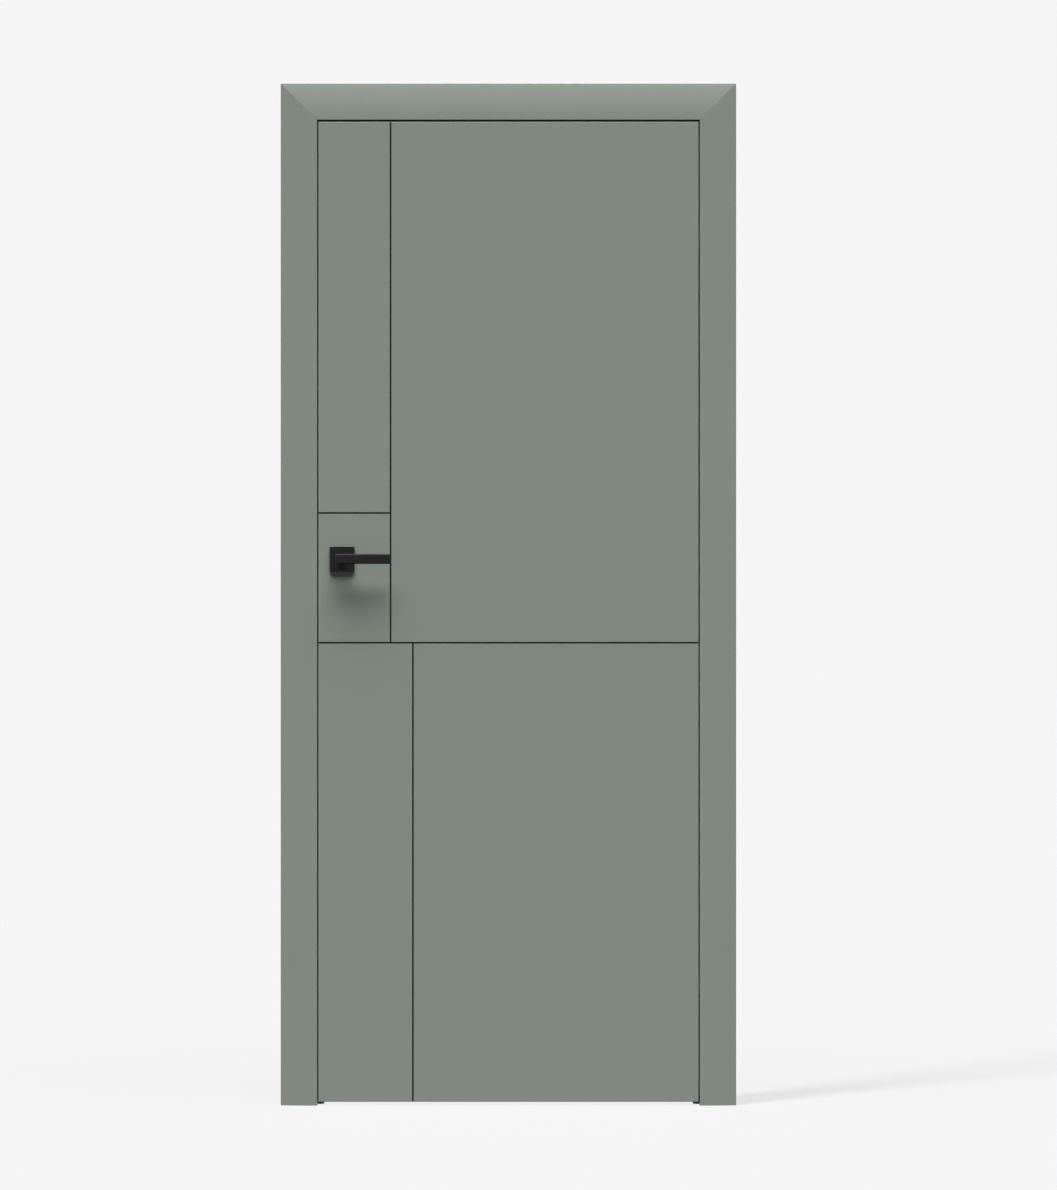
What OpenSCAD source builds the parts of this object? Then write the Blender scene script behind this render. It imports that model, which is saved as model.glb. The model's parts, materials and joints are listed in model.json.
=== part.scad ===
// Flush interior door in its mitred frame, with concealed hinges, inlay lines and a lever latch.
// Millimetres. X runs along the leaf from the lock edge to the hinge edge, Y runs from the pull side
// to the push side, Z is up from the floor. The origin is at the bottom centre of the whole door.

/* [Leaf] */
// Width of the door leaf
leaf_w = 800; // [600:10:1000]
// Height of the door leaf
leaf_h = 2062; // [1900:2:2400]
// Thickness of the door leaf
leaf_t = 40; // [38:1:50]
// Thickness of the painted face boards
skin_t = 4; // [3:0.5:5]
// Easing of the face boards' outer edges
skin_ease = 0.8; // [0.3:0.1:1.5]
// Width of the two stiles
stile_w = 36; // [30:1:50]
// Height of the top and bottom rails
rail_h = 36; // [30:1:80]
// Width of the block that the latch is let into
lock_block_w = 70; // [60:1:100]
// Height of the block that the latch is let into
lock_block_h = 320; // [200:5:400]
// Diameter of the tubes in the core board
core_tube_d = 22; // [16:1:24]
// Distance between the tubes in the core board
core_pitch = 28; // [26:1:34]

/* [Gaps round the leaf] */
// Gap between the leaf and each side jamb
gap_side = 2.5; // [2:0.25:4]
// Gap above the leaf
gap_top = 4.25; // [2:0.25:5]
// Gap between the leaf and the floor
gap_floor = 8; // [4:0.5:15]
// Gap between the leaf and the stop, where the seal lies
gap_stop = 4; // [3:0.25:6]

/* [Inlay lines] */
// Width of the black inlay strips
inlay_w = 3.4; // [1.5:0.1:6]
// Depth of the grooves for the strips
groove_d = 2.5; // [1:0.1:2.8]
// How far the strips lie below the surface
inlay_recess = 0.3; // [0.1:0.05:0.6]
// Clearance between a strip and each side of its groove
inlay_fit = 0.05; // [0.02:0.01:0.2]
// Distance of the upper upright line from the lock edge
upper_line_x = 152; // [100:1:300]
// Distance of the lower upright line from the lock edge
lower_line_x = 199; // [100:1:400]
// Height of the full-width line above the bottom of the leaf
full_line_z = 966; // [700:1:1040]
// Height of the short line above the bottom of the leaf
short_line_z = 1239; // [1190:1:1500]

/* [Frame] */
// Thickness of the wall that the frame lines
wall_t = 100; // [90:5:250]
// Thickness of the jamb boards
jamb_t = 32; // [30:1:45]
// Height of the stop above the jamb face
stop_h = 13; // [11:0.5:20]
// Width of the front casing
casing_w = 77; // [60:1:110]
// Thickness of the front casing, from its inner edge to the wall
casing_t = 22; // [18:1:30]
// How far the convex face falls back at the casing's outer edge
casing_drop = 7.5; // [4:0.5:14]
// Thickness of the casing where it laps over the jamb's front edge
casing_lip = 6; // [5:0.25:6.5]
// Width of the jamb's front edge under the casing
casing_seat = 28; // [27:0.5:29]
// Thickness of the casing's spline
spline_t = 5; // [3:0.5:5]
// Length of the casing's spline
spline_len = 9; // [5:0.5:10]
// Distance of the spline from the jamb face
spline_s = 19.5; // [18:0.5:20]
// Width of the back casing
back_casing_w = 77; // [60:1:110]
// Thickness of the back casing at its inner edge
back_casing_t = 20; // [16:1:30]
// How much of the stop's edge the back casing leaves bare
back_reveal = 3; // [0:0.5:6]
// Thickness of the back casing's tongue
tongue_t = 6; // [4:0.5:8]
// Length of the back casing's tongue
tongue_len = 30; // [15:1:35]
// Distance of the tongue from the jamb face
tongue_s = 6; // [4:0.5:12]
// Clearance of splines and tongues in their grooves
groove_fit = 0.2; // [0.1:0.05:0.4]
// How far each casing's relief groove runs past the jamb, so that the casing lies flat on the wall
relief_past = 6; // [2:0.5:12]
// Depth of the casings' relief groove
relief_t = 1.5; // [0.5:0.25:2]

/* [Stop seal] */
// Width of the seal's stem
seal_stem_t = 2.6; // [2:0.1:3.5]
// Length of the seal's stem
seal_stem_len = 7; // [5:0.5:8]
// Width of the seal's bulb
seal_bulb_w = 9; // [7:0.5:10]
// Wall of the seal's bulb
seal_wall = 0.9; // [0.6:0.1:1.2]
// Space left between the seal and the closed leaf
seal_play = 0.3; // [0.2:0.05:0.6]
// Distance of the seal from the jamb face
seal_s = 5.5; // [5:0.25:6]

/* [Handle] */
// Distance of the handle's axis from the lock edge
backset = 50; // [45:1:60]
// Height of the handle's axis above the bottom of the leaf
handle_z = 1142; // [1080:1:1150]
// Side of the square rose
rose_side = 52; // [48:1:60]
// Thickness of the rose
rose_t = 8; // [7:0.5:12]
// Wall of the rose's cover
rose_wall = 1.8; // [1.2:0.1:2.2]
// Chamfer round the rose's face
rose_chamfer = 0.8; // [0.3:0.1:1.5]
// Thickness of the rose's base
rose_base_t = 5; // [4:0.25:5.5]
// Distance of the lever's outer face from the leaf
lever_out = 57; // [48:1:65]
// Reach of the lever from its axis to its free end
lever_reach = 104; // [90:1:140]
// Reach of the lever behind its axis
lever_heel = 12.8; // [10:0.2:16]
// Height of the lever bar
lever_h = 21; // [16:0.5:26]
// Thickness of the lever bar
lever_t = 12; // [10:0.5:16]
// Chamfer along the lever bar's outer edges
lever_chamfer = 2; // [0.5:0.1:3]
// Corner radius at the lever's heel
lever_heel_r = 3; // [1:0.5:5]
// Diameter of the lever's neck
neck_d = 18; // [16:0.5:20]
// Side of the square spindle
spindle_side = 8; // [7:0.5:9]
// How far the spindle runs into each lever, from the leaf's face
spindle_out = 34; // [26:1:40]
// Diameter of the grub screw that holds a lever on the spindle
grub_d = 5; // [4:0.5:5]
// Distance of the grub screw from the leaf's face
grub_y = 20; // [14:1:24]
// Distance between the rose's two through bolts
rose_bolt_span = 38; // [36:1:40]
// Diameter of the rose's through bolts
rose_bolt_d = 4; // [3:0.5:5]

/* [Latch] */
// Thickness of the latch case
case_t = 16; // [15:0.5:18]
// Depth of the latch case behind its forend
case_d = 76; // [74:1:90]
// Height of the latch case
case_h = 80; // [76:1:120]
// Wall of the latch case
case_wall = 1.5; // [1:0.1:1.8]
// Width of the forend
forend_w = 20; // [18:0.5:24]
// Height of the forend
forend_h = 150; // [130:1:240]
// Thickness of the forend
forend_t = 3; // [2:0.25:4]
// Throw of the latch bolt past the leaf's edge
bolt_throw = 12; // [8:0.5:13]
// Thickness of the latch bolt
bolt_w = 12; // [10:0.25:12]
// Height of the latch bolt
bolt_h = 16; // [12:0.5:18]
// Height of the latch bolt's middle above the handle's axis
bolt_z = 18.5; // [18:0.25:20]
// Length of the follower's arm
cam_reach = 20; // [19:0.25:20.5]
// Play between the follower's arm and the bolt's hook
cam_play = 1; // [0.9:0.05:1.5]
// Width of the strike plate
strike_w = 22; // [20:0.5:24]
// Height of the strike plate
strike_h = 110; // [90:1:160]
// Thickness of the strike plate
strike_t = 2; // [1.5:0.25:3]
// Depth of the dust box behind the strike plate
strike_box_d = 14; // [12:0.5:16]

/* [Hinges] */
// Distance of each hinge's middle from the end of the leaf
hinge_inset = 240; // [180:5:300]
// Distance of the hinge's middle from the leaf's front face
hinge_y = 20; // [20:0.25:21]
// Width of the hinge body
hinge_w = 25; // [25:0.25:26]
// Height of the hinge's face plate
hinge_plate_h = 130; // [124:1:160]
// Thickness of the hinge's face plate
hinge_plate_t = 3; // [2:0.25:4]
// Height of the hinge's cup
hinge_cup_h = 92; // [90:0.5:96]
// Depth of the hinge's cup
hinge_cup_d = 16; // [15:0.5:18]
// Wall of the hinge's cup
hinge_wall = 1.3; // [1:0.05:1.35]
// Distance of the leaf's turning axis in front of the leaf's face
hinge_axis_out = 1.5; // [1:0.1:2]
// Distance of the arm pins from the leaf's front face
hinge_pin_y = 12.5; // [12.4:0.05:12.7]
// Distance of the arm pins behind the faces of the leaf and jamb
hinge_pin_in = 5.6; // [5.2:0.1:6]
// Diameter of the hinge pins
hinge_pin_d = 4; // [3:0.25:4.25]
// Height of the stack of arms in the cup
hinge_stack_h = 71; // [60:1:72]
// Height of the middle arm
hinge_mid_h = 24; // [18:1:30]
// Half width of the arms
arm_half_w = 2.8; // [2.4:0.1:3]
// Distance of the arm's elbow from its pin
elbow_reach = 10; // [9:0.25:12]
// Angle by which the elbow bows away from the straight line between the pins
elbow_angle = 45; // [42:1:50]

/* [Fits] */
// Clearance of fittings in the pockets cut for them
pocket_fit = 0.2; // [0.1:0.05:0.4]
// Radial clearance of turning pins and hubs
running_fit = 0.05; // [0.02:0.01:0.1]
// Clearance round sliding and passing pieces
slide_fit = 0.3; // [0.2:0.05:0.5]
// Diameter of the countersunk screws' shanks
screw_d = 3.5; // [3:0.5:4]
// Diameter of the countersunk screws' heads
screw_head_d = 7; // [6:0.5:8]
// Length of the countersunk screws
screw_len = 22; // [15:1:25]

/* [Hidden] */

// Smoothness of arcs and round holes
$fn = 48;
// Extra length that lets a cut break cleanly through a face
over = 1;
paint = "#818880";
black = "#262425";
steel = "#a9abad";
raw_wood = "#c9a97c";
rubber = "#3b3c3d";

// Places round the leaf, in the frame where the leaf's front face is at y = 0
leaf_left = -leaf_w / 2;
leaf_right = leaf_w / 2;
leaf_bottom = gap_floor;
leaf_top = gap_floor + leaf_h;
x_in = leaf_w / 2 + gap_side;
z_in = leaf_top + gap_top;
stop_y = leaf_t + gap_stop;
wall_back = casing_t + wall_t;
back_face = wall_back + back_casing_t;
y_shift = (lever_out - back_face) / 2;
mitre_in = stop_h + 10;
mitre_out = max(casing_w, back_casing_w) + 10;

// The casings' convex face is an arc that starts square to the inner edge
casing_r = (casing_w * casing_w + casing_drop * casing_drop) / (2 * casing_drop);
back_s = back_reveal - stop_h;

// Handle and latch
axis_x = leaf_left + backset;
axis_z = leaf_bottom + handle_z;
mid_y = leaf_t / 2;
bolt_mid = axis_z + bolt_z;
case_front = leaf_left + forend_t;
case_back = case_front + case_d;
rose_bolt_r = rose_bolt_d / 2;
rose_bolt_head_r = rose_bolt_d * 0.9;
rose_bolt_head_h = 2.2;
rose_bolt_x = [axis_x - rose_bolt_span / 2, axis_x + rose_bolt_span / 2];
bolt_hole_r = rose_bolt_r + 1;
follower_hub_r = spindle_side;
follower_disc_r = follower_hub_r + 2;
cam_half_w = 3;

// Latch bolt: its hook behind the follower's arm, its tail, and its head with the sloping face
hook_x = axis_x + cam_half_w + cam_play;
hook_t = 4;
hook_drop = 13;
tail_h = 4;
tail_w = 8;
head_len = 18;
bolt_nose = 3;
bolt_bevel = 9;

// Coil spring behind the hook
spring_r = 4;
spring_wire_r = 0.6;
spring_turns = 6;

// Hinges: the leaf's axis, the two arm pins and the cross pin are the corners of a rhombus
hinge_zs = [leaf_top - hinge_inset, leaf_bottom + hinge_inset];
x_mid = leaf_right + gap_side / 2;
pin_a = [x_in + hinge_pin_in, hinge_pin_y];
pin_c = [x_mid, 2 * hinge_pin_y + hinge_axis_out];
arm_dir = atan2(pin_c[1] - pin_a[1], pin_c[0] - pin_a[0]);
elbow = pin_a + elbow_reach * [cos(arm_dir - elbow_angle), sin(arm_dir - elbow_angle)];
pin_r = hinge_pin_d / 2;
boss_a_r = hinge_pin_y - hinge_y + hinge_w / 2 - hinge_wall - slide_fit;
boss_c_r = boss_a_r + 0.4;
arm_gap = 0.5;
hinge_screw_z = (hinge_plate_h + hinge_cup_h) / 4;

// Shared shapes

// Moves a piece from the leaf-face frame to the frame at the door's middle
module placed() {
    translate([0, y_shift, 0]) children();
}

// Turns a shape of (y, z) into a bar along X
module along_x(len) {
    rotate([90, 0, 90]) linear_extrude(len) children();
}

// Turns a shape of (x, z) into a bar along Y
module along_y(len) {
    translate([0, len, 0]) rotate([90, 0, 0]) linear_extrude(len) children();
}

module box(from, to) {
    translate(from) cube(to - from);
}

// A slot with round ends, standing upright
module stadium(w, h) {
    square([w, h - w], center = true);
    for (end = [-1, 1]) {
        translate([0, end * (h - w) / 2]) circle(d = w);
    }
}

// Copies a piece from the frame's side of the hinge gap to the leaf's side
module on_leaf_side() {
    translate([2 * x_mid, 0, 0]) mirror([1, 0, 0]) children();
}

// Copies a piece from the front of the leaf to its back
module on_back_face() {
    translate([0, leaf_t, 0]) mirror([0, 1, 0]) children();
}

module at_hinges() {
    for (z = hinge_zs) translate([0, 0, z]) children();
}

// Countersunk screw that points along +X, with its head's face at x = 0, or the hole for one
module screw_x(grow = 0) {
    cone = (screw_head_d - screw_d) / 2;
    rotate([0, 90, 0]) {
        cylinder(d1 = screw_head_d + 2 * grow, d2 = screw_d + 2 * grow, h = cone);
        cylinder(d = screw_d + 2 * grow, h = screw_len + grow);
    }
}

// Frame profiles, drawn as s outward from the jamb face and y from the leaf's front face

module casing_relief(from_y) {
    translate([casing_seat - over, from_y])
        square([jamb_t + relief_past - casing_seat + over, relief_t + over]);
}

module front_casing_profile() {
    difference() {
        intersection() {
            translate([0, casing_r]) circle(r = casing_r, $fn = 180);
            translate([0, -over]) square([casing_w, casing_t + over]);
        }
        translate([-over, casing_lip]) square([casing_seat + over, casing_t]);
        casing_relief(casing_t - relief_t);
    }
    translate([spline_s, casing_lip - over]) square([spline_t, spline_len + over]);
}

module jamb_profile() {
    difference() {
        union() {
            translate([0, casing_lip]) square([casing_seat, wall_back - casing_lip]);
            translate([0, casing_t]) square([jamb_t, wall_t]);
        }
        translate([spline_s - groove_fit, casing_lip - over])
            square([spline_t + 2 * groove_fit, spline_len + groove_fit + over]);
        translate([tongue_s - groove_fit, wall_back - tongue_len - groove_fit])
            square([tongue_t + 2 * groove_fit, tongue_len + groove_fit + over]);
    }
}

module stop_profile() {
    difference() {
        translate([-stop_h, stop_y]) square([stop_h, wall_back - stop_y]);
        translate([-seal_s - seal_stem_t / 2 - groove_fit, stop_y - over])
            square([seal_stem_t + 2 * groove_fit, seal_stem_len + groove_fit + over]);
    }
}

module back_casing_profile() {
    difference() {
        intersection() {
            translate([back_s, back_face - casing_r]) circle(r = casing_r, $fn = 180);
            translate([back_s, wall_back]) square([back_casing_w, back_casing_t + over]);
        }
        casing_relief(wall_back - over);
    }
    translate([tongue_s, wall_back - tongue_len]) square([tongue_t, tongue_len + over]);
}

module seal_profile() {
    bulb_h = gap_stop - seal_play;
    half = seal_bulb_w / 2;
    bulb_r = (half * half + bulb_h * bulb_h) / (2 * bulb_h);
    translate([-seal_s, stop_y]) {
        difference() {
            intersection() {
                translate([0, bulb_r - bulb_h]) circle(r = bulb_r);
                translate([-half, -bulb_h - over]) square([seal_bulb_w, bulb_h + over]);
            }
            intersection() {
                translate([0, bulb_r - bulb_h]) circle(r = bulb_r - seal_wall);
                translate([-half, -bulb_h]) square([seal_bulb_w, bulb_h - seal_wall]);
            }
        }
        translate([-seal_stem_t / 2, -seal_wall / 2])
            square([seal_stem_t, seal_stem_len + seal_wall / 2]);
    }
}

// Sweeps a frame profile along one side of the doorway, mitred at the top corners

module right_leg() {
    intersection() {
        translate([x_in, 0, 0]) linear_extrude(z_in + mitre_out) children();
        translate([0, -lever_out, 0]) along_y(back_face + 2 * lever_out)
            polygon([
                [x_in - mitre_in, 0],
                [x_in + mitre_out, 0],
                [x_in + mitre_out, z_in + mitre_out],
                [x_in - mitre_in, z_in - mitre_in]
            ]);
    }
}

module left_leg() {
    mirror([1, 0, 0]) right_leg() children();
}

module head_piece() {
    half = x_in + mitre_out;
    intersection() {
        translate([half, 0, z_in]) rotate([0, -90, 0]) linear_extrude(2 * half) children();
        translate([0, -lever_out, 0]) along_y(back_face + 2 * lever_out)
            polygon([
                [-half, z_in + mitre_out],
                [half, z_in + mitre_out],
                [x_in - mitre_in, z_in - mitre_in],
                [mitre_in - x_in, z_in - mitre_in]
            ]);
    }
}

// Concealed hinge, frame side, with the hinge's middle at z = 0

module hinge_pocket() {
    translate([x_in - over, hinge_y, 0]) {
        along_x(hinge_plate_t + over)
            stadium(hinge_w + 2 * pocket_fit, hinge_plate_h + 2 * pocket_fit);
        along_x(hinge_cup_d + pocket_fit + over)
            stadium(hinge_w + 2 * pocket_fit, hinge_cup_h + 2 * pocket_fit);
    }
    hinge_screws(running_fit);
}

module hinge_screws(grow = 0) {
    for (end = [-1, 1]) {
        translate([x_in, hinge_y, end * hinge_screw_z]) screw_x(grow);
    }
}

module hinge_body() {
    difference() {
        translate([x_in, hinge_y, 0]) {
            along_x(hinge_plate_t) stadium(hinge_w, hinge_plate_h);
            along_x(hinge_cup_d) stadium(hinge_w, hinge_cup_h);
        }
        box(
            [x_in - over, hinge_y - hinge_w / 2 + hinge_wall, -hinge_stack_h / 2 - arm_gap],
            [
                x_in + hinge_cup_d - hinge_wall,
                hinge_y + hinge_w / 2 - hinge_wall,
                hinge_stack_h / 2 + arm_gap
            ]
        );
        arm_pin(running_fit);
        hinge_screws(running_fit);
    }
}

module arm_pin(grow = 0) {
    pin_h = (hinge_stack_h + hinge_cup_h) / 2;
    translate([pin_a[0], pin_a[1], 0]) {
        cylinder(r = pin_r + grow, h = pin_h + 2 * grow, center = true);
    }
}

// A straight stretch of an arm between two points, a little narrower than its round ends
module arm_stretch(p, q, half_w) {
    d = q - p;
    translate(p) rotate(atan2(d[1], d[0])) translate([0, -half_w]) square([norm(d), 2 * half_w]);
}

// Outline of a bowed arm from the arm pin to the cross pin, with a hole at each pin that turns in it
module arm_outline(cross_hole) {
    difference() {
        union() {
            translate(pin_a) circle(r = boss_a_r);
            translate(elbow) circle(r = arm_half_w);
            translate(pin_c) circle(r = boss_c_r);
            arm_stretch(pin_a, elbow, arm_half_w * 0.95);
            arm_stretch(elbow, pin_c, arm_half_w * 0.95);
        }
        translate(pin_a) circle(r = pin_r + running_fit);
        if (cross_hole) translate(pin_c) circle(r = pin_r + running_fit);
    }
}

module frame_arm() {
    prong_h = (hinge_stack_h - hinge_mid_h) / 2 - arm_gap;
    for (end = [-1, 1]) {
        translate([0, 0, end * (hinge_stack_h - prong_h) / 2 - prong_h / 2]) {
            linear_extrude(prong_h) arm_outline(false);
        }
    }
    translate([pin_c[0], pin_c[1], 0]) {
        cylinder(r = pin_r, h = hinge_stack_h - prong_h, center = true);
    }
}

module leaf_arm() {
    on_leaf_side() {
        translate([0, 0, -hinge_mid_h / 2]) linear_extrude(hinge_mid_h) arm_outline(true);
    }
}

// Frame pieces

module strike_jamb() {
    color(paint) placed() difference() {
        left_leg() jamb_profile();
        strike_pocket();
    }
}

module hinge_jamb() {
    color(paint) placed() difference() {
        right_leg() jamb_profile();
        at_hinges() hinge_pocket();
    }
}

module head_jamb() {
    color(paint) placed() head_piece() jamb_profile();
}

module strike_stop() {
    color(paint) placed() left_leg() stop_profile();
}

module hinge_stop() {
    color(paint) placed() right_leg() stop_profile();
}

module head_stop() {
    color(paint) placed() head_piece() stop_profile();
}

module front_casing_left() {
    color(paint) placed() left_leg() front_casing_profile();
}

module front_casing_right() {
    color(paint) placed() right_leg() front_casing_profile();
}

module front_casing_head() {
    color(paint) placed() head_piece() front_casing_profile();
}

module back_casing_left() {
    color(paint) placed() left_leg() back_casing_profile();
}

module back_casing_right() {
    color(paint) placed() right_leg() back_casing_profile();
}

module back_casing_head() {
    color(paint) placed() head_piece() back_casing_profile();
}

module stop_seals() {
    color(rubber) placed() {
        left_leg() seal_profile();
        right_leg() seal_profile();
        head_piece() seal_profile();
    }
}

// Strike, let into the face of the lock-side jamb and mirrored so that it is drawn along +X

module at_strike() {
    mirror([1, 0, 0]) translate([x_in, mid_y, bolt_mid]) children();
}

strike_screw_z = (strike_h + bolt_h + 4 * case_wall) / 4;
box_w = bolt_w + 2 * slide_fit + 4 * case_wall;
box_h = bolt_h + 2 * slide_fit + 4 * case_wall;

module strike_screw_set(grow = 0) {
    at_strike() {
        for (end = [-1, 1]) translate([0, 0, end * strike_screw_z]) screw_x(grow);
    }
}

module strike_pocket() {
    at_strike() {
        translate([-over, 0, 0]) {
            along_x(strike_t + over) stadium(strike_w + 2 * pocket_fit, strike_h + 2 * pocket_fit);
        }
        along_x(strike_t + strike_box_d + pocket_fit)
            square([box_w + 2 * pocket_fit, box_h + 2 * pocket_fit], center = true);
    }
    strike_screw_set(running_fit);
}

module strike_plate() {
    color(black) placed() difference() {
        at_strike() along_x(strike_t) difference() {
            stadium(strike_w, strike_h);
            square([bolt_w + 2 * case_wall, bolt_h + 2 * case_wall], center = true);
        }
        strike_screw_set(running_fit);
    }
}

module strike_plate_screws() {
    color(black) placed() strike_screw_set();
}

module strike_box() {
    color(black) placed() at_strike() translate([strike_t, 0, 0]) difference() {
        along_x(strike_box_d) square([box_w, box_h], center = true);
        translate([-over, 0, 0]) along_x(strike_box_d + over - case_wall)
            square([box_w - 2 * case_wall, box_h - 2 * case_wall], center = true);
    }
}

module upper_hinge_frame_body() {
    color(steel) placed() translate([0, 0, hinge_zs[0]]) hinge_body();
}

module lower_hinge_frame_body() {
    color(steel) placed() translate([0, 0, hinge_zs[1]]) hinge_body();
}

module hinge_frame_screws() {
    color(steel) placed() at_hinges() hinge_screws();
}

module hinge_frame_pins() {
    color(steel) placed() at_hinges() arm_pin();
}

// Leaf pieces

module spindle_hole() {
    translate([axis_x, -over, axis_z]) along_y(leaf_t + 2 * over) circle(r = follower_disc_r);
}

module rose_bolt_holes(r) {
    for (x = rose_bolt_x) {
        translate([x, -over, axis_z]) along_y(leaf_t + 2 * over) circle(r = r);
    }
}

module forend_blank(grow = 0) {
    translate([leaf_left - (grow > 0 ? over : 0), mid_y, axis_z]) {
        along_x(forend_t + (grow > 0 ? over : 0)) stadium(forend_w + 2 * grow, forend_h + 2 * grow);
    }
}

module forend_screw_set(grow = 0) {
    screw_z = (forend_h + case_h) / 4;
    for (end = [-1, 1]) {
        translate([leaf_left, mid_y, axis_z + end * screw_z]) screw_x(grow);
    }
}

module latch_mortise() {
    forend_blank(pocket_fit);
    box(
        [leaf_left, mid_y - case_t / 2 - pocket_fit, axis_z - case_h / 2 - pocket_fit],
        [case_back + pocket_fit, mid_y + case_t / 2 + pocket_fit, axis_z + case_h / 2 + pocket_fit]
    );
    forend_screw_set(running_fit);
}

module leaf_lock_stile() {
    color(paint) placed() difference() {
        box([leaf_left, skin_t, leaf_bottom], [leaf_left + stile_w, leaf_t - skin_t, leaf_top]);
        latch_mortise();
        rose_bolt_holes(bolt_hole_r);
    }
}

module leaf_hinge_stile() {
    color(paint) placed() difference() {
        box([leaf_right - stile_w, skin_t, leaf_bottom], [leaf_right, leaf_t - skin_t, leaf_top]);
        on_leaf_side() at_hinges() hinge_pocket();
    }
}

module rail(z) {
    box(
        [leaf_left + stile_w, skin_t, z],
        [leaf_right - stile_w, leaf_t - skin_t, z + rail_h]
    );
}

module leaf_top_rail() {
    color(paint) placed() rail(leaf_top - rail_h);
}

module leaf_bottom_rail() {
    color(paint) placed() rail(leaf_bottom);
}

module lock_block_blank() {
    box(
        [leaf_left + stile_w, skin_t, axis_z - lock_block_h / 2],
        [leaf_left + stile_w + lock_block_w, leaf_t - skin_t, axis_z + lock_block_h / 2]
    );
}

module leaf_lock_block() {
    color(raw_wood) placed() difference() {
        lock_block_blank();
        latch_mortise();
        spindle_hole();
        rose_bolt_holes(bolt_hole_r);
    }
}

module leaf_core() {
    core_w = leaf_w - 2 * stile_w;
    core_h = leaf_h - 2 * rail_h;
    tubes = floor((core_w - core_pitch + core_tube_d) / core_pitch);
    color(raw_wood) placed() difference() {
        box(
            [-core_w / 2, skin_t, leaf_bottom + rail_h],
            [core_w / 2, leaf_t - skin_t, leaf_top - rail_h]
        );
        for (i = [0 : tubes - 1]) {
            translate([(i - (tubes - 1) / 2) * core_pitch, mid_y, leaf_bottom + rail_h - over]) {
                cylinder(d = core_tube_d, h = core_h + 2 * over);
            }
        }
        translate([-over, 0, 0]) lock_block_blank();
        lock_block_blank();
    }
}

// One face board, drawn at the front, with its outer edges eased and its line grooves cut
module face_board() {
    difference() {
        intersection() {
            translate([0, 0, leaf_bottom]) linear_extrude(leaf_h) polygon([
                [leaf_left, skin_t],
                [leaf_left, skin_ease],
                [leaf_left + skin_ease, 0],
                [leaf_right - skin_ease, 0],
                [leaf_right, skin_ease],
                [leaf_right, skin_t]
            ]);
            translate([leaf_left, 0, 0]) along_x(leaf_w) polygon([
                [skin_t, leaf_bottom],
                [skin_ease, leaf_bottom],
                [0, leaf_bottom + skin_ease],
                [0, leaf_top - skin_ease],
                [skin_ease, leaf_top],
                [skin_t, leaf_top]
            ]);
        }
        translate([0, -over, 0]) {
            upper_line(inlay_w, over, groove_d + over);
            short_line(inlay_w, over, groove_d + over);
            full_line(inlay_w, over, groove_d + over);
            lower_line(inlay_w, over, groove_d + over);
        }
        spindle_hole();
        rose_bolt_holes(bolt_hole_r);
    }
}

module leaf_front_skin() {
    color(paint) placed() face_board();
}

module leaf_back_skin() {
    color(paint) placed() on_back_face() face_board();
}

// Inlay lines as bars: w is a bar's width, past is how far it runs over the leaf's edge, deep its depth.
// A strip that meets the full-width line or the upper upright ends at that line's edge.

upper_x = leaf_left + upper_line_x;
lower_x = leaf_left + lower_line_x;
full_z = leaf_bottom + full_line_z;
short_z = leaf_bottom + short_line_z;

module upper_line(w, past, deep) {
    box([upper_x - w / 2, 0, full_z + inlay_w / 2], [upper_x + w / 2, deep, leaf_top + past]);
}

module short_line(w, past, deep) {
    box([leaf_left - past, 0, short_z - w / 2], [upper_x - inlay_w / 2, deep, short_z + w / 2]);
}

module full_line(w, past, deep) {
    box([leaf_left - past, 0, full_z - w / 2], [leaf_right + past, deep, full_z + w / 2]);
}

module lower_line(w, past, deep) {
    box([lower_x - w / 2, 0, leaf_bottom - past], [lower_x + w / 2, deep, full_z - inlay_w / 2]);
}

strip_w = inlay_w - 2 * inlay_fit;
strip_d = groove_d - inlay_recess;

// Lays a strip in its groove, a little short of the leaf's eased edge
module laid_strip() {
    color(black) placed() translate([0, inlay_recess, 0]) children();
}

module laid_back_strip() {
    color(black) placed() on_back_face() translate([0, inlay_recess, 0]) children();
}

module front_upper_inlay() {
    laid_strip() upper_line(strip_w, -skin_ease, strip_d);
}

module front_short_inlay() {
    laid_strip() short_line(strip_w, -skin_ease, strip_d);
}

module front_full_inlay() {
    laid_strip() full_line(strip_w, -skin_ease, strip_d);
}

module front_lower_inlay() {
    laid_strip() lower_line(strip_w, -skin_ease, strip_d);
}

module back_upper_inlay() {
    laid_back_strip() upper_line(strip_w, -skin_ease, strip_d);
}

module back_short_inlay() {
    laid_back_strip() short_line(strip_w, -skin_ease, strip_d);
}

module back_full_inlay() {
    laid_back_strip() full_line(strip_w, -skin_ease, strip_d);
}

module back_lower_inlay() {
    laid_back_strip() lower_line(strip_w, -skin_ease, strip_d);
}

// Latch

module bolt_window(grow, len) {
    translate([leaf_left - over, mid_y, bolt_mid]) {
        along_x(len) square([bolt_w + 2 * grow, bolt_h + 2 * grow], center = true);
    }
}

module latch_forend() {
    color(black) placed() difference() {
        forend_blank();
        bolt_window(slide_fit, forend_t + 2 * over);
        forend_screw_set(running_fit);
    }
}

module forend_screws() {
    color(black) placed() forend_screw_set();
}

module follower_bore() {
    translate([axis_x, mid_y - case_t, axis_z]) {
        along_y(2 * case_t) circle(r = follower_hub_r + running_fit);
    }
}

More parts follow.
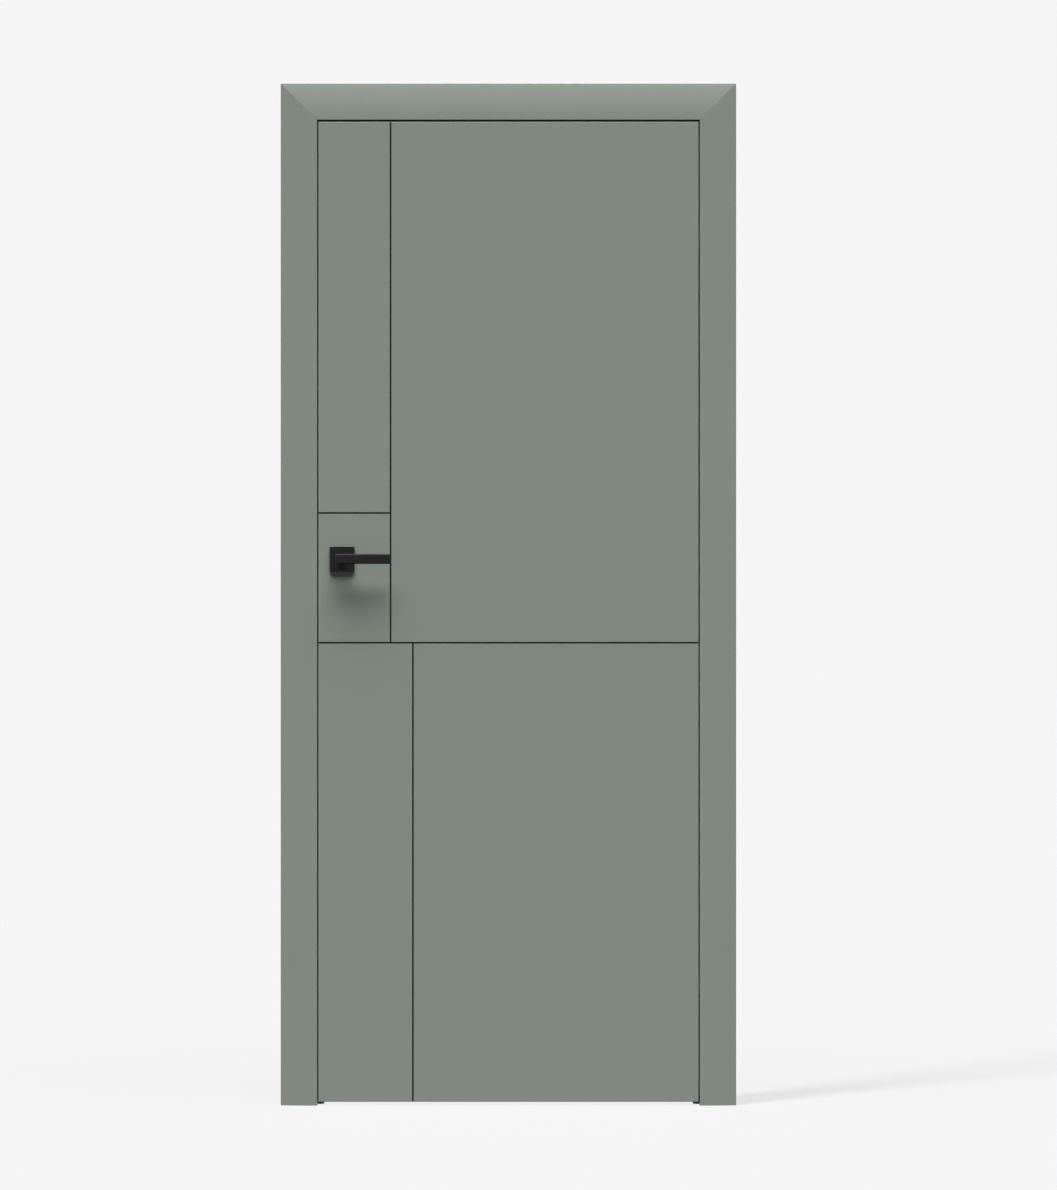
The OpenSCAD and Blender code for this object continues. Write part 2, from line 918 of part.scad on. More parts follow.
module latch_case() {
    color(steel) placed() difference() {
        box(
            [case_front, mid_y - case_t / 2, axis_z - case_h / 2],
            [case_back, mid_y + case_t / 2 - case_wall, axis_z + case_h / 2]
        );
        box(
            [case_front + case_wall, mid_y - case_t / 2 + case_wall, axis_z - case_h / 2 + case_wall],
            [case_back - case_wall, mid_y + case_t / 2, axis_z + case_h / 2 - case_wall]
        );
        bolt_window(slide_fit, forend_t + case_wall + 2 * over);
        follower_bore();
        rose_bolt_holes(bolt_hole_r);
    }
}

module latch_case_cover() {
    color(steel) placed() difference() {
        box(
            [case_front, mid_y + case_t / 2 - case_wall, axis_z - case_h / 2],
            [case_back, mid_y + case_t / 2, axis_z + case_h / 2]
        );
        follower_bore();
        rose_bolt_holes(bolt_hole_r);
    }
}

// Bolt with its sloping head, a tail above the follower and a hook behind the follower's arm
module latch_bolt() {
    front = mid_y - bolt_w / 2;
    back = mid_y + bolt_w / 2;
    tip = leaf_left - bolt_throw;
    top = bolt_mid + bolt_h / 2;
    color(steel) placed() union() {
        translate([0, 0, bolt_mid - bolt_h / 2]) linear_extrude(bolt_h) polygon([
            [leaf_left + head_len, front],
            [tip, front],
            [tip, front + bolt_nose],
            [tip + bolt_bevel, back],
            [leaf_left + head_len, back]
        ]);
        box(
            [leaf_left + head_len - over, mid_y - tail_w / 2, top - tail_h],
            [hook_x + hook_t, mid_y + tail_w / 2, top]
        );
        box(
            [hook_x, mid_y - tail_w / 2, axis_z + hook_drop],
            [hook_x + hook_t, mid_y + tail_w / 2, top]
        );
    }
}

// Coil spring between the bolt's hook and the back of the case, swept along a helix
function coil_point(turn, len) = [
    len * turn / spring_turns,
    spring_r * cos(360 * turn),
    spring_r * sin(360 * turn)
];

function coil_ring(turn, len, sides) = [
    for (k = [0 : sides - 1])
        coil_point(turn, len) + spring_wire_r * (
            cos(360 * k / sides) * [0, cos(360 * turn), sin(360 * turn)]
            + sin(360 * k / sides) * [1, 0, 0]
        )
];

module coil(len) {
    sides = 6;
    steps = 12 * spring_turns;
    points = [
        for (i = [0 : steps])
            for (p = coil_ring(i * spring_turns / steps, len, sides)) p
    ];
    walls = [
        for (i = [0 : steps - 1])
            for (k = [0 : sides - 1]) [
                i * sides + k,
                i * sides + (k + 1) % sides,
                (i + 1) * sides + (k + 1) % sides,
                (i + 1) * sides + k
            ]
    ];
    ends = [
        [for (k = [sides - 1 : -1 : 0]) k],
        [for (k = [0 : sides - 1]) steps * sides + k]
    ];
    polyhedron(points, concat(walls, ends), convexity = 8);
}

module latch_spring() {
    room = case_back - case_wall - hook_x - hook_t;
    margin = spring_wire_r + slide_fit;
    color(steel) placed() translate([hook_x + hook_t + margin, mid_y, bolt_mid]) {
        coil(room - 2 * margin);
    }
}

// Follower with its arm pointing up
module follower() {
    disc_w = case_t - 2 * case_wall - 2 * slide_fit;
    color(steel) placed() difference() {
        union() {
            translate([axis_x, mid_y - case_t / 2, axis_z]) along_y(case_t) circle(r = follower_hub_r);
            translate([axis_x, mid_y - disc_w / 2, axis_z]) along_y(disc_w) {
                circle(r = follower_disc_r);
                translate([-cam_half_w, 0]) square([2 * cam_half_w, cam_reach]);
            }
        }
        spindle_socket(-over, leaf_t + over);
    }
}

module spindle_socket(from, to) {
    side = spindle_side + 2 * running_fit;
    translate([axis_x, from, axis_z]) along_y(to - from) square(side, center = true);
}

module spindle() {
    color(steel) placed() translate([axis_x, -spindle_out, axis_z]) {
        along_y(leaf_t + 2 * spindle_out) square(spindle_side, center = true);
    }
}

// Handle set, drawn at the front of the leaf

module rose_base() {
    side = rose_side - 2 * rose_wall - 2 * slide_fit;
    difference() {
        translate([axis_x, -rose_base_t, axis_z]) along_y(rose_base_t) square(side, center = true);
        translate([axis_x, -rose_base_t - over, axis_z]) {
            along_y(rose_base_t + 2 * over) circle(d = neck_d + 2 * running_fit);
        }
        for (x = rose_bolt_x) {
            translate([x, -rose_base_t - over, axis_z]) {
                along_y(rose_base_t + 2 * over) circle(r = rose_bolt_r + running_fit);
                along_y(rose_bolt_head_h + slide_fit + over) circle(r = rose_bolt_head_r + slide_fit);
            }
        }
    }
}

// Square cover with a chamfer round its face, hollow behind
module rose_cover() {
    half = rose_side / 2;
    chamfered = [
        [-half, 0],
        [-half, rose_chamfer - rose_t],
        [rose_chamfer - half, -rose_t],
        [half - rose_chamfer, -rose_t],
        [half, rose_chamfer - rose_t],
        [half, 0]
    ];
    inner = rose_side - 2 * rose_wall;
    translate([axis_x, 0, axis_z]) difference() {
        intersection() {
            translate([0, 0, -half]) linear_extrude(rose_side) polygon(chamfered);
            translate([-half, 0, 0]) along_x(rose_side) polygon([for (p = chamfered) [p[1], p[0]]]);
        }
        translate([0, rose_wall - rose_t, 0]) along_y(rose_t) square(inner, center = true);
        translate([0, -rose_t - over, 0]) along_y(rose_t + 2 * over) circle(d = neck_d + 2 * slide_fit);
    }
}

module lever() {
    heel_x = axis_x - lever_heel;
    tip_x = axis_x + lever_reach;
    half = lever_h / 2;
    back = lever_t - lever_out;
    difference() {
        union() {
            // Bar: its outline seen from the front, with its outer edges chamfered
            intersection() {
                translate([0, -lever_out, axis_z]) along_y(lever_t) {
                    translate([heel_x + lever_heel_r, -half]) {
                        square([tip_x - heel_x - lever_heel_r, lever_h]);
                    }
                    translate([heel_x, lever_heel_r - half]) {
                        square([2 * lever_heel_r, lever_h - 2 * lever_heel_r]);
                    }
                    for (end = [-1, 1]) {
                        translate([heel_x + lever_heel_r, end * (half - lever_heel_r)]) {
                            circle(r = lever_heel_r);
                        }
                    }
                }
                translate([heel_x, 0, axis_z]) along_x(tip_x - heel_x) polygon([
                    [back, -half],
                    [lever_chamfer - lever_out, -half],
                    [-lever_out, lever_chamfer - half],
                    [-lever_out, half - lever_chamfer],
                    [lever_chamfer - lever_out, half],
                    [back, half]
                ]);
                translate([0, 0, axis_z - half]) linear_extrude(lever_h) polygon([
                    [heel_x, back],
                    [heel_x, lever_chamfer / 2 - lever_out],
                    [heel_x + lever_chamfer / 2, -lever_out],
                    [tip_x - lever_chamfer / 2, -lever_out],
                    [tip_x, lever_chamfer / 2 - lever_out],
                    [tip_x, back]
                ]);
            }
            // Neck down to the rose's base
            translate([axis_x, back - over, axis_z]) along_y(-slide_fit - back + over) circle(d = neck_d);
        }
        spindle_socket(-spindle_out - slide_fit, over);
        grub_hole(running_fit);
    }
}

// Grub screw from below the neck to the spindle
module grub_hole(grow = 0) {
    translate([axis_x, -grub_y, axis_z - neck_d / 2 - (grow > 0 ? over : 0)]) {
        cylinder(d = grub_d + 2 * grow, h = (neck_d - spindle_side) / 2 + (grow > 0 ? over : 0));
    }
}

module grub_screw() {
    socket_d = grub_d / 2;
    start = axis_z - neck_d / 2 + slide_fit;
    difference() {
        translate([axis_x, -grub_y, start]) {
            cylinder(d = grub_d, h = (neck_d - spindle_side) / 2 - slide_fit);
        }
        translate([axis_x, -grub_y, start - over]) cylinder(d = socket_d, h = socket_d + over, $fn = 6);
    }
}

module front_rose_base() {
    color(steel) placed() rose_base();
}

module back_rose_base() {
    color(steel) placed() on_back_face() rose_base();
}

module front_rose() {
    color(black) placed() rose_cover();
}

module back_rose() {
    color(black) placed() on_back_face() rose_cover();
}

// Bolts that clamp the two rose bases through the leaf
module rose_bolts() {
    seat = rose_bolt_head_h + slide_fit - rose_base_t;
    color(steel) placed() for (x = rose_bolt_x) {
        translate([x, 0, axis_z]) {
            translate([0, seat, 0]) along_y(leaf_t - 2 * seat) circle(r = rose_bolt_r);
            for (y = [seat - rose_bolt_head_h, leaf_t - seat]) {
                translate([0, y, 0]) along_y(rose_bolt_head_h) circle(r = rose_bolt_head_r);
            }
        }
    }
}

module front_lever() {
    color(black) placed() lever();
}

module back_lever() {
    color(black) placed() on_back_face() lever();
}

module lever_grub_screws() {
    color(black) placed() {
        grub_screw();
        on_back_face() grub_screw();
    }
}

// Leaf side of the hinges, and the arms

module upper_hinge_leaf_body() {
    color(steel) placed() on_leaf_side() translate([0, 0, hinge_zs[0]]) hinge_body();
}

module lower_hinge_leaf_body() {
    color(steel) placed() on_leaf_side() translate([0, 0, hinge_zs[1]]) hinge_body();
}

module hinge_leaf_screws() {
    color(steel) placed() on_leaf_side() at_hinges() hinge_screws();
}

module hinge_leaf_pins() {
    color(steel) placed() on_leaf_side() at_hinges() arm_pin();
}

module upper_hinge_frame_arm() {
    color(steel) placed() translate([0, 0, hinge_zs[0]]) frame_arm();
}

module lower_hinge_frame_arm() {
    color(steel) placed() translate([0, 0, hinge_zs[1]]) frame_arm();
}

module upper_hinge_leaf_arm() {
    color(steel) placed() translate([0, 0, hinge_zs[0]]) leaf_arm();
}

module lower_hinge_leaf_arm() {
    color(steel) placed() translate([0, 0, hinge_zs[1]]) leaf_arm();
}

strike_jamb();
hinge_jamb();
head_jamb();
strike_stop();
hinge_stop();
head_stop();
front_casing_left();
front_casing_right();
front_casing_head();
back_casing_left();
back_casing_right();
back_casing_head();
stop_seals();
strike_plate();
strike_plate_screws();
strike_box();
upper_hinge_frame_body();
lower_hinge_frame_body();
hinge_frame_screws();
hinge_frame_pins();
leaf_lock_stile();
leaf_hinge_stile();
leaf_top_rail();
leaf_bottom_rail();
leaf_lock_block();
leaf_core();
leaf_front_skin();
leaf_back_skin();
front_upper_inlay();
front_short_inlay();
front_full_inlay();
front_lower_inlay();
back_upper_inlay();
back_short_inlay();
back_full_inlay();
back_lower_inlay();
latch_forend();
forend_screws();
latch_case();
latch_case_cover();
latch_spring();
latch_bolt();
front_rose_base();
back_rose_base();
front_rose();
back_rose();
rose_bolts();
front_lever();
back_lever();
spindle();
follower();
lever_grub_screws();
upper_hinge_leaf_body();
lower_hinge_leaf_body();
hinge_leaf_screws();
hinge_leaf_pins();
upper_hinge_frame_arm();
lower_hinge_frame_arm();
upper_hinge_leaf_arm();
lower_hinge_leaf_arm();
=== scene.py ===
# %% [markdown]
# A flush interior door in its mitred frame, dressed from its construction model.
# The solids come in as a fixed frame, in metres and already in place, so nothing here moves or
# resizes them. This lesson gives them their finishes, remakes the few pieces whose edges the eye
# reads closely, and sets the studio round them.

# %% Load the frame
import json
import math
import bmesh
import bpy
from mathutils import Matrix, Vector


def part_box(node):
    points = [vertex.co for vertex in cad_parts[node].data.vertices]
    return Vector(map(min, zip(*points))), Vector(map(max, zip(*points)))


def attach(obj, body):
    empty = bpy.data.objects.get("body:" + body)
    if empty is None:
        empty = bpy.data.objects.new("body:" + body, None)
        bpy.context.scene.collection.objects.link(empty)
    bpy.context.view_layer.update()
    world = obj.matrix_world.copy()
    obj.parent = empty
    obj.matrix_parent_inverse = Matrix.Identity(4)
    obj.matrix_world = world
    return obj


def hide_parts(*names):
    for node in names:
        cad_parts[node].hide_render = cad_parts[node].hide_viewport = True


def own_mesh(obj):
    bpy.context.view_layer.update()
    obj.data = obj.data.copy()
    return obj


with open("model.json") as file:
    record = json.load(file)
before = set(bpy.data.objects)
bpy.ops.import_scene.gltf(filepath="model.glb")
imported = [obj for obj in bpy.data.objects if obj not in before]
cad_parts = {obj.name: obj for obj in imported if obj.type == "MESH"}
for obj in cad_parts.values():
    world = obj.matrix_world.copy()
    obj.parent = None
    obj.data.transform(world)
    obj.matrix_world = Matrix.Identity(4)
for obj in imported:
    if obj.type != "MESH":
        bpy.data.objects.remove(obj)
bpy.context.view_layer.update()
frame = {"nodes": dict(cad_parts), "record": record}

scene = bpy.context.scene
scene.view_settings.view_transform = "Standard"
slot_of = {part["node"]: part["material_slot"] for part in frame["record"]["subparts"]}

# %% [markdown]
# The picture is a straight front view with a long lens, so uprights stay parallel and the frame
# hardly narrows with distance. One number ties the image to the object: the metres that one pixel
# covers on the leaf's face. The camera then stands square to the door, level with the middle of the
# image, and its lens follows from how much height the image has to show.

# %% Camera
IMAGE_H = 1190
METRES_PER_PIXEL = 0.002104
VIEW_X, VIEW_Z = 0.0422, 1.0744
CAMERA_DISTANCE = 12.0
SENSOR_H = 36.0
FAR_CLIP = 200.0

leaf_face_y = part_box("leaf_front_skin")[0][1]
camera_data = bpy.data.cameras.new("studio_camera")
camera_data.sensor_fit = "VERTICAL"
camera_data.sensor_height = SENSOR_H
camera_data.lens = SENSOR_H * CAMERA_DISTANCE / (IMAGE_H * METRES_PER_PIXEL)
camera_data.clip_end = FAR_CLIP
camera = bpy.data.objects.new("studio_camera", camera_data)
camera.location = (VIEW_X, leaf_face_y - CAMERA_DISTANCE, VIEW_Z)
camera.rotation_euler = (math.radians(90), 0, 0)
scene.collection.objects.link(camera)
scene.camera = camera
print("lens:", round(camera_data.lens, 1), "mm at", CAMERA_DISTANCE, "m")

# %% [markdown]
# Finishes are built from shader nodes. A small helper adds a node and sets its inputs, so each
# recipe below reads as a list of ingredients. Effects that several finishes share are node groups:
# they put out a colour, a roughness and a height, and the material keeps its own shader.

# %% Node helpers
VECTOR, COLOUR, VALUE = "NodeSocketVector", "NodeSocketColor", "NodeSocketFloat"


def add_node(tree, kind, inputs=None, **settings):
    made = tree.nodes.new(kind)
    for key, value in settings.items():
        setattr(made, key, value)
    for key, value in (inputs or {}).items():
        made.inputs[key].default_value = value
    return made


def new_group(name, inputs):
    """An empty shader group with named sockets, and the sockets that bring its inputs in."""
    tree = bpy.data.node_groups.new(name, "ShaderNodeTree")
    for socket, kind, value in inputs:
        made = tree.interface.new_socket(socket, in_out="INPUT", socket_type=kind)
        if value is not None:
            made.default_value = value
    return tree, tree.nodes.new("NodeGroupInput").outputs


def end_group(tree, colour, roughness, height):
    """Gives a group its three outputs and wires them."""
    wired = (("Colour", COLOUR, colour), ("Roughness", VALUE, roughness), ("Height", VALUE, height))
    for socket, kind, _ in wired:
        tree.interface.new_socket(socket, in_out="OUTPUT", socket_type=kind)
    end = tree.nodes.new("NodeGroupOutput")
    for socket, _, source in wired:
        tree.links.new(source, end.inputs[socket])
    print("group:", tree.name)


print("node helpers ready")

# %% [markdown]
# No real finish is quite even. An image of the surface could show that, but noise has no seams and
# needs no file. Its values gather round a half, so one helper spreads their middle over a range of
# roughness, and another turns them into a factor near 1 that shades a colour. A Mix node's colour
# sockets go by number here, because its other sockets share their names.

# %% Noise helpers
NOISE_LOW, NOISE_MIDDLE, NOISE_HIGH = 0.3, 0.5, 0.7
MIX_A, MIX_B, MIX_RESULT = 6, 7, 2


def noise(tree, vector, scale, detail=2.0, roughness=0.5):
    made = add_node(tree, "ShaderNodeTexNoise", {"Detail": detail, "Roughness": roughness})
    tree.links.new(vector, made.inputs["Vector"])
    if isinstance(scale, (int, float)):
        made.inputs["Scale"].default_value = scale
    else:
        tree.links.new(scale, made.inputs["Scale"])
    return made.outputs["Fac"]


def between(tree, value, low, high):
    """Spreads a noise value so that it runs from one socket's value to another's."""
    made = add_node(tree, "ShaderNodeMapRange", {"From Min": NOISE_LOW, "From Max": NOISE_HIGH})
    tree.links.new(value, made.inputs["Value"])
    tree.links.new(low, made.inputs["To Min"])
    tree.links.new(high, made.inputs["To Max"])
    return made.outputs["Result"]


def near_one(tree, value, amount):
    """1, moved a little up or down by a noise value; amount is a socket."""
    centred = add_node(tree, "ShaderNodeMath", {1: NOISE_MIDDLE}, operation="SUBTRACT")
    made = add_node(tree, "ShaderNodeMath", {2: 1.0}, operation="MULTIPLY_ADD")
    tree.links.new(value, centred.inputs[0])
    tree.links.new(centred.outputs[0], made.inputs[0])
    tree.links.new(amount, made.inputs[1])
    return made.outputs[0]


def shaded(tree, colour, value):
    """A colour made a little lighter or darker by a value near 1."""
    made = add_node(tree, "ShaderNodeMix", {"Factor": 1.0}, data_type="RGBA", blend_type="MULTIPLY")
    tree.links.new(colour, made.inputs[MIX_A])
    tree.links.new(value, made.inputs[MIX_B])
    return made.outputs[MIX_RESULT]


print("noise helpers ready")

# %% [markdown]
# Sprayed lacquer dries with a faint skin like an orange's: waves a millimetre or two long and a few
# hundredths high. Its colour drifts by a percent or two over a panel, and its sheen is a little
# uneven where the spray overlapped. One group makes all three from noise at different sizes.

# %% Spray lacquer group
DRIFT_SCALE = 4.5
OVERLAP_SCALE = 14.0

lacquer_group, given = new_group("spray_lacquer", [
    ("Place", VECTOR, None), ("Colour", COLOUR, (0.2, 0.2, 0.2, 1)), ("Peel", VALUE, 700.0),
    ("Drift", VALUE, 0.02), ("Sheen low", VALUE, 0.4), ("Sheen high", VALUE, 0.5),
])
drift = noise(lacquer_group, given["Place"], DRIFT_SCALE, detail=4.0)
overlap = noise(lacquer_group, given["Place"], OVERLAP_SCALE, detail=3.0)
peel = noise(lacquer_group, given["Place"], given["Peel"], detail=1.5)
tint = shaded(lacquer_group, given["Colour"], near_one(lacquer_group, drift, given["Drift"]))
sheen = between(lacquer_group, overlap, given["Sheen low"], given["Sheen high"])
end_group(lacquer_group, tint, sheen, peel)

# %% [markdown]
# Powder coat is baked from fine grains, so close up it is pebbled and never quite smooth. The
# pebbles are rounder and finer than lacquer's peel. The same noise gives their height and a painted
# highlight: the colour is a little mottled and painted lighter on the pebble tops, to fall with them.

# %% Powder grain group
CLOUD_SCALE = 45.0

powder_group, given = new_group("powder_grain", [
    ("Place", VECTOR, None), ("Colour", COLOUR, (0.02, 0.02, 0.02, 1)), ("Grain", VALUE, 1500.0),
    ("Mottle and painted highlight", VALUE, 0.5), ("Rough low", VALUE, 0.42), ("Rough high", VALUE, 0.54),
])
grain = noise(powder_group, given["Place"], given["Grain"], detail=2.0)
cloud = noise(powder_group, given["Place"], CLOUD_SCALE, detail=3.0)
# The colour follows the grain: a little mottled, and painted lighter on the tops as a painted
# highlight.
tint = shaded(powder_group, given["Colour"], near_one(powder_group, grain, given["Mottle and painted highlight"]))
sheen = between(powder_group, cloud, given["Rough low"], given["Rough high"])
end_group(powder_group, tint, sheen, grain)

# %% [markdown]
# Drawn and rolled metal carries fine lines along the way it was worked. Stretching noise along one
# axis, with a Mapping node in the material, gives those lines. Broad smudges vary the polish.

# %% Drawn metal group
SMUDGE_SCALE = 60.0

drawn_group, given = new_group("drawn_metal", [
    ("Lines", VECTOR, None), ("Place", VECTOR, None), ("Colour", COLOUR, (0.5, 0.5, 0.5, 1)),
    ("Streaks", VALUE, 0.45), ("Rough low", VALUE, 0.25), ("Rough high", VALUE, 0.42),
])
lines = noise(drawn_group, given["Lines"], 1.0, detail=3.0, roughness=0.6)
smudge = noise(drawn_group, given["Place"], SMUDGE_SCALE, detail=3.0)
tint = shaded(drawn_group, given["Colour"], near_one(drawn_group, lines, given["Streaks"]))
sheen = between(drawn_group, smudge, given["Rough low"], given["Rough high"])
end_group(drawn_group, tint, sheen, lines)

# %% [markdown]
# Each material is put together the same way: object coordinates in, a group's colour and roughness
# on, and the group's height through a Bump node. Only the numbers differ, so one function makes them
# all. What is the same all over a surface is set on the shader's own sockets.

# %% Finish maker
finishes = {}


def make_finish(name, slots, group, bump_m, effect, plain=None, stretch=None):
    """A material for the named slots; stretch draws the group's lines out along an axis."""
    material = bpy.data.materials.new(name)
    material.use_nodes = True
    tree = material.node_tree
    shader = tree.nodes["Principled BSDF"]
    place = add_node(tree, "ShaderNodeTexCoord").outputs["Object"]
    used = add_node(tree, "ShaderNodeGroup", effect, node_tree=group)
    tree.links.new(place, used.inputs["Place"])
    if stretch:
        mapped = add_node(tree, "ShaderNodeMapping", {"Scale": stretch})
        tree.links.new(place, mapped.inputs["Vector"])
        tree.links.new(mapped.outputs["Vector"], used.inputs["Lines"])
    bump = add_node(tree, "ShaderNodeBump", {"Distance": bump_m, "Strength": 1.0})
    tree.links.new(used.outputs["Height"], bump.inputs["Height"])
    tree.links.new(used.outputs["Colour"], shader.inputs["Base Color"])
    tree.links.new(used.outputs["Roughness"], shader.inputs["Roughness"])
    tree.links.new(bump.outputs["Normal"], shader.inputs["Normal"])
    for socket, value in (plain or {}).items():
        shader.inputs[socket].default_value = value
    for slot in slots:
        finishes[slot] = material
    print("finish:", name, "for", *slots)


print("finish maker ready")

# %% [markdown]
# Nearly everything in view is one sage-grey satin lacquer. It is a plain dielectric with a low
# sheen, so what shows is the colour itself and how the light falls over the casing's curve.

# %% Sage lacquer
make_finish("sage_lacquer", ["sage_paint"], lacquer_group, bump_m=0.00006,
            effect={"Colour": (0.205, 0.231, 0.203, 1), "Peel": 620.0, "Drift": 0.05,
                    "Sheen low": 0.46, "Sheen high": 0.56},
            plain={"Specular IOR Level": 0.2})

# %% [markdown]
# Three blacks sit side by side, and they should not look like one. The handle is die-cast metal
# under matt powder coat. The inlays are anodised strip, darker and nearly without shine, so that
# they read as lines. The latch's plates and their screws are plated steel, which keeps some of the
# metal's gleam.

# %% Blacks
make_finish("black_powder_coat", ["black_metal"], powder_group, bump_m=0.00006,
            effect={"Colour": (0.0085, 0.0075, 0.008, 1), "Grain": 1700.0},
            plain={"Specular IOR Level": 0.15})
make_finish("black_anodised_strip", ["black_inlay"], drawn_group, bump_m=0.00001,
            effect={"Colour": (0.004, 0.0036, 0.0038, 1), "Rough low": 0.4, "Rough high": 0.55},
            plain={"Specular IOR Level": 0.06}, stretch=(900, 900, 900))
make_finish("black_plated_steel", ["black_plate"], drawn_group, bump_m=0.00001,
            effect={"Colour": (0.03, 0.03, 0.031, 1), "Rough low": 0.3, "Rough high": 0.45},
            plain={"Metallic": 0.6}, stretch=(900, 900, 40))

# %% [markdown]
# Some metal is hidden until the leaf opens, or for good. The hinges' screws and pins, the spindle and
# the works of the latch are zinc-plated steel with upright drawing lines. The hinges are die-cast and
# tumbled, so they have a fine even grain and no direction.

# %% Bare metals
make_finish("zinc_plated_steel", ["steel"], drawn_group, bump_m=0.00001,
            effect={"Colour": (0.5, 0.5, 0.51, 1), "Rough low": 0.24, "Rough high": 0.4},
            plain={"Metallic": 1.0}, stretch=(1200, 1200, 60))
# The hinge's grain gets a weaker mottle and painted highlight on its tops.
make_finish("satin_cast_hinge", ["hinge_metal"], powder_group, bump_m=0.00002,
            effect={"Colour": (0.36, 0.36, 0.37, 1), "Grain": 2600.0, "Mottle and painted highlight": 0.2,
                    "Rough low": 0.34, "Rough high": 0.46},
            plain={"Metallic": 0.9})

# %% [markdown]
# The rubber seals and the plastic box behind the strike show when the door stands open. The board of
# the leaf's core shows only once a skin is taken off. They borrow the groups that are there: coarse
# powder grain looks like rubber or board, and fine lacquer peel like the skin of moulded plastic.

# %% Rubber, plastic and board
make_finish("seal_rubber", ["seal_rubber"], powder_group, bump_m=0.00003,
            effect={"Colour": (0.035, 0.035, 0.036, 1), "Grain": 500.0,
                    "Rough low": 0.55, "Rough high": 0.7},
            plain={"Sheen Weight": 0.15})
make_finish("moulded_dark_plastic", ["dust_box", "rose_plastic"], lacquer_group, bump_m=0.00003,
            effect={"Colour": (0.014, 0.014, 0.015, 1), "Peel": 900.0, "Drift": 0.1,
                    "Sheen low": 0.38, "Sheen high": 0.5})
make_finish("bare_board", ["raw_board"], powder_group, bump_m=0.0002,
            effect={"Colour": (0.42, 0.27, 0.14, 1), "Grain": 260.0,
                    "Rough low": 0.75, "Rough high": 0.9})

# %% [markdown]
# Every solid names its own finish in the part's record, so a loop can dress them all. The pieces that
# are remade further down take theirs by the same names.

# %% Dress the solids
for name, node in frame["nodes"].items():
    if not node.material_slots:
        node.data.materials.append(None)
    for material_slot in node.material_slots:
        material_slot.material = finishes[slot_of[name]]
print("finished nodes:", len(frame["nodes"]))

# %% [markdown]
# The solids have perfectly sharp corners, which no made thing has. The pieces that the eye reads
# closely are remade here with eased edges, each in the place and size of the solid it stands for.
# A helper turns a finished mesh into an object: smooth faces, hard edges where two faces meet
# sharply, a finish, and the body that carries it. A Weighted Normal modifier lets the large faces
# keep their own direction, so that they stay flat and only the narrow rounded edges shade round.

# %% Adding a piece
HARD_ANGLE = math.radians(28)


def add_piece(bm, name, body, slot, *replaced):
    bmesh.ops.recalc_face_normals(bm, faces=bm.faces[:])
    for face in bm.faces:
        face.smooth = True
    for edge in bm.edges:
        edge.smooth = edge.calc_face_angle(0.0) < HARD_ANGLE
    open_edges = sum(not edge.is_manifold for edge in bm.edges)
    mesh = bpy.data.meshes.new(name)
    bm.to_mesh(mesh)
    bm.free()
    mesh.materials.append(finishes[slot])
    made = bpy.data.objects.new(name, mesh)
    scene.collection.objects.link(made)
    made.modifiers.new("large_faces_lead", "WEIGHTED_NORMAL").keep_sharp = True
    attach(made, body)
    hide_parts(*replaced)
    print(name, "faces:", len(mesh.polygons), "open edges:", open_edges)
    return made


def ease(bm, edges, radius, segments):
    """Rounds edges, or cuts a flat chamfer with one segment."""
    bmesh.ops.bevel(bm, geom=edges, offset=radius, offset_type="OFFSET", affect="EDGES",
                    segments=segments, profile=0.5, material=-1)


print("piece helpers ready")

# %% [markdown]
# A casing is a moulding: one outline run along a straight length and cut at forty-five degrees at
# the corners. Cutting a long bar with a plane would do it, but there is a shorter way. The outline is
# drawn flat, extruded and eased along its long arrises, and then each point is slid along by its
# distance from the doorway, which is what a mitre is.

# %% Running a moulding
TOUCHING = 1e-6

x_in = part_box("front_casing_right")[0][0]
z_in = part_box("front_casing_head")[0][2]


def verts_of(made):
    """The vertices among what an operator made."""
    return [part for part in made if isinstance(part, bmesh.types.BMVert)]


def carry_on(bm, last, points):
    """Draws an outline on from one corner through points of (s, depth)."""
    for s, depth in points:
        following = bm.verts.new((s, depth, 0))
        bm.edges.new((last, following))
        last = following
    return last


def run_moulding(bm, name, side, face_y, way, radius, eased):
    """Runs the outline along one side: -1 or 1 for an upright, 0 for the head."""
    bmesh.ops.contextual_create(bm, geom=bm.edges[:])
    run = bmesh.ops.extrude_face_region(bm, geom=bm.faces[:])["geom"]
    bmesh.ops.translate(bm, verts=verts_of(run), vec=(0, 0, 1))
    corners = [Vector(corner) for corner in eased]
    arrises = [edge for edge in bm.edges
               if (edge.verts[0].co - edge.verts[1].co).xy.length < TOUCHING
               and any((edge.verts[0].co.xy - corner).length < TOUCHING for corner in corners)]
    ease(bm, arrises, radius, segments=3)
    for vert in bm.verts:
        s, depth, along = vert.co
        y = face_y + way * depth
        if side:
            vert.co = (side * (x_in + s), y, along * (z_in + s))
        else:
            vert.co = ((2 * along - 1) * (x_in + s), y, z_in + s)
    add_piece(bm, name + "_moulding", "frame", "sage_paint", name)


print("doorway:", round(2 * x_in, 4), "by", round(z_in, 4), "m")

# %% [markdown]
# All six casings have the same shallow convex face, which is an arc made by spinning one point. What
# lies behind it differs, so each outline is closed with its own list of points.

# %% Casing outline
CASING_DROP = 0.0075
CASING_EASE = 0.0007
ARC_STEPS = 24
RELIEF_END = 0.038
RELIEF_DEPTH = 0.0015
CASING_SEAT = 0.028


def casing(name, side, start, face_y, way, width, behind, inner_depth):
    bm = bmesh.new()
    first = bm.verts.new((start, 0, 0))
    radius = (width ** 2 + CASING_DROP ** 2) / (2 * CASING_DROP)
    arc = bmesh.ops.spin(bm, geom=[first], cent=(start, radius, 0), axis=(0, 0, 1),
                         angle=math.asin(width / radius), steps=ARC_STEPS)["geom_last"]
    last = verts_of(arc)[0]
    outer = last.co.xy.copy()
    bm.edges.new((carry_on(bm, last, behind), first))
    run_moulding(bm, name, side, face_y, way, CASING_EASE,
                 [(start, 0), (start, inner_depth), outer, behind[0]])


print("casing faces drop", CASING_DROP, "m to the outside")

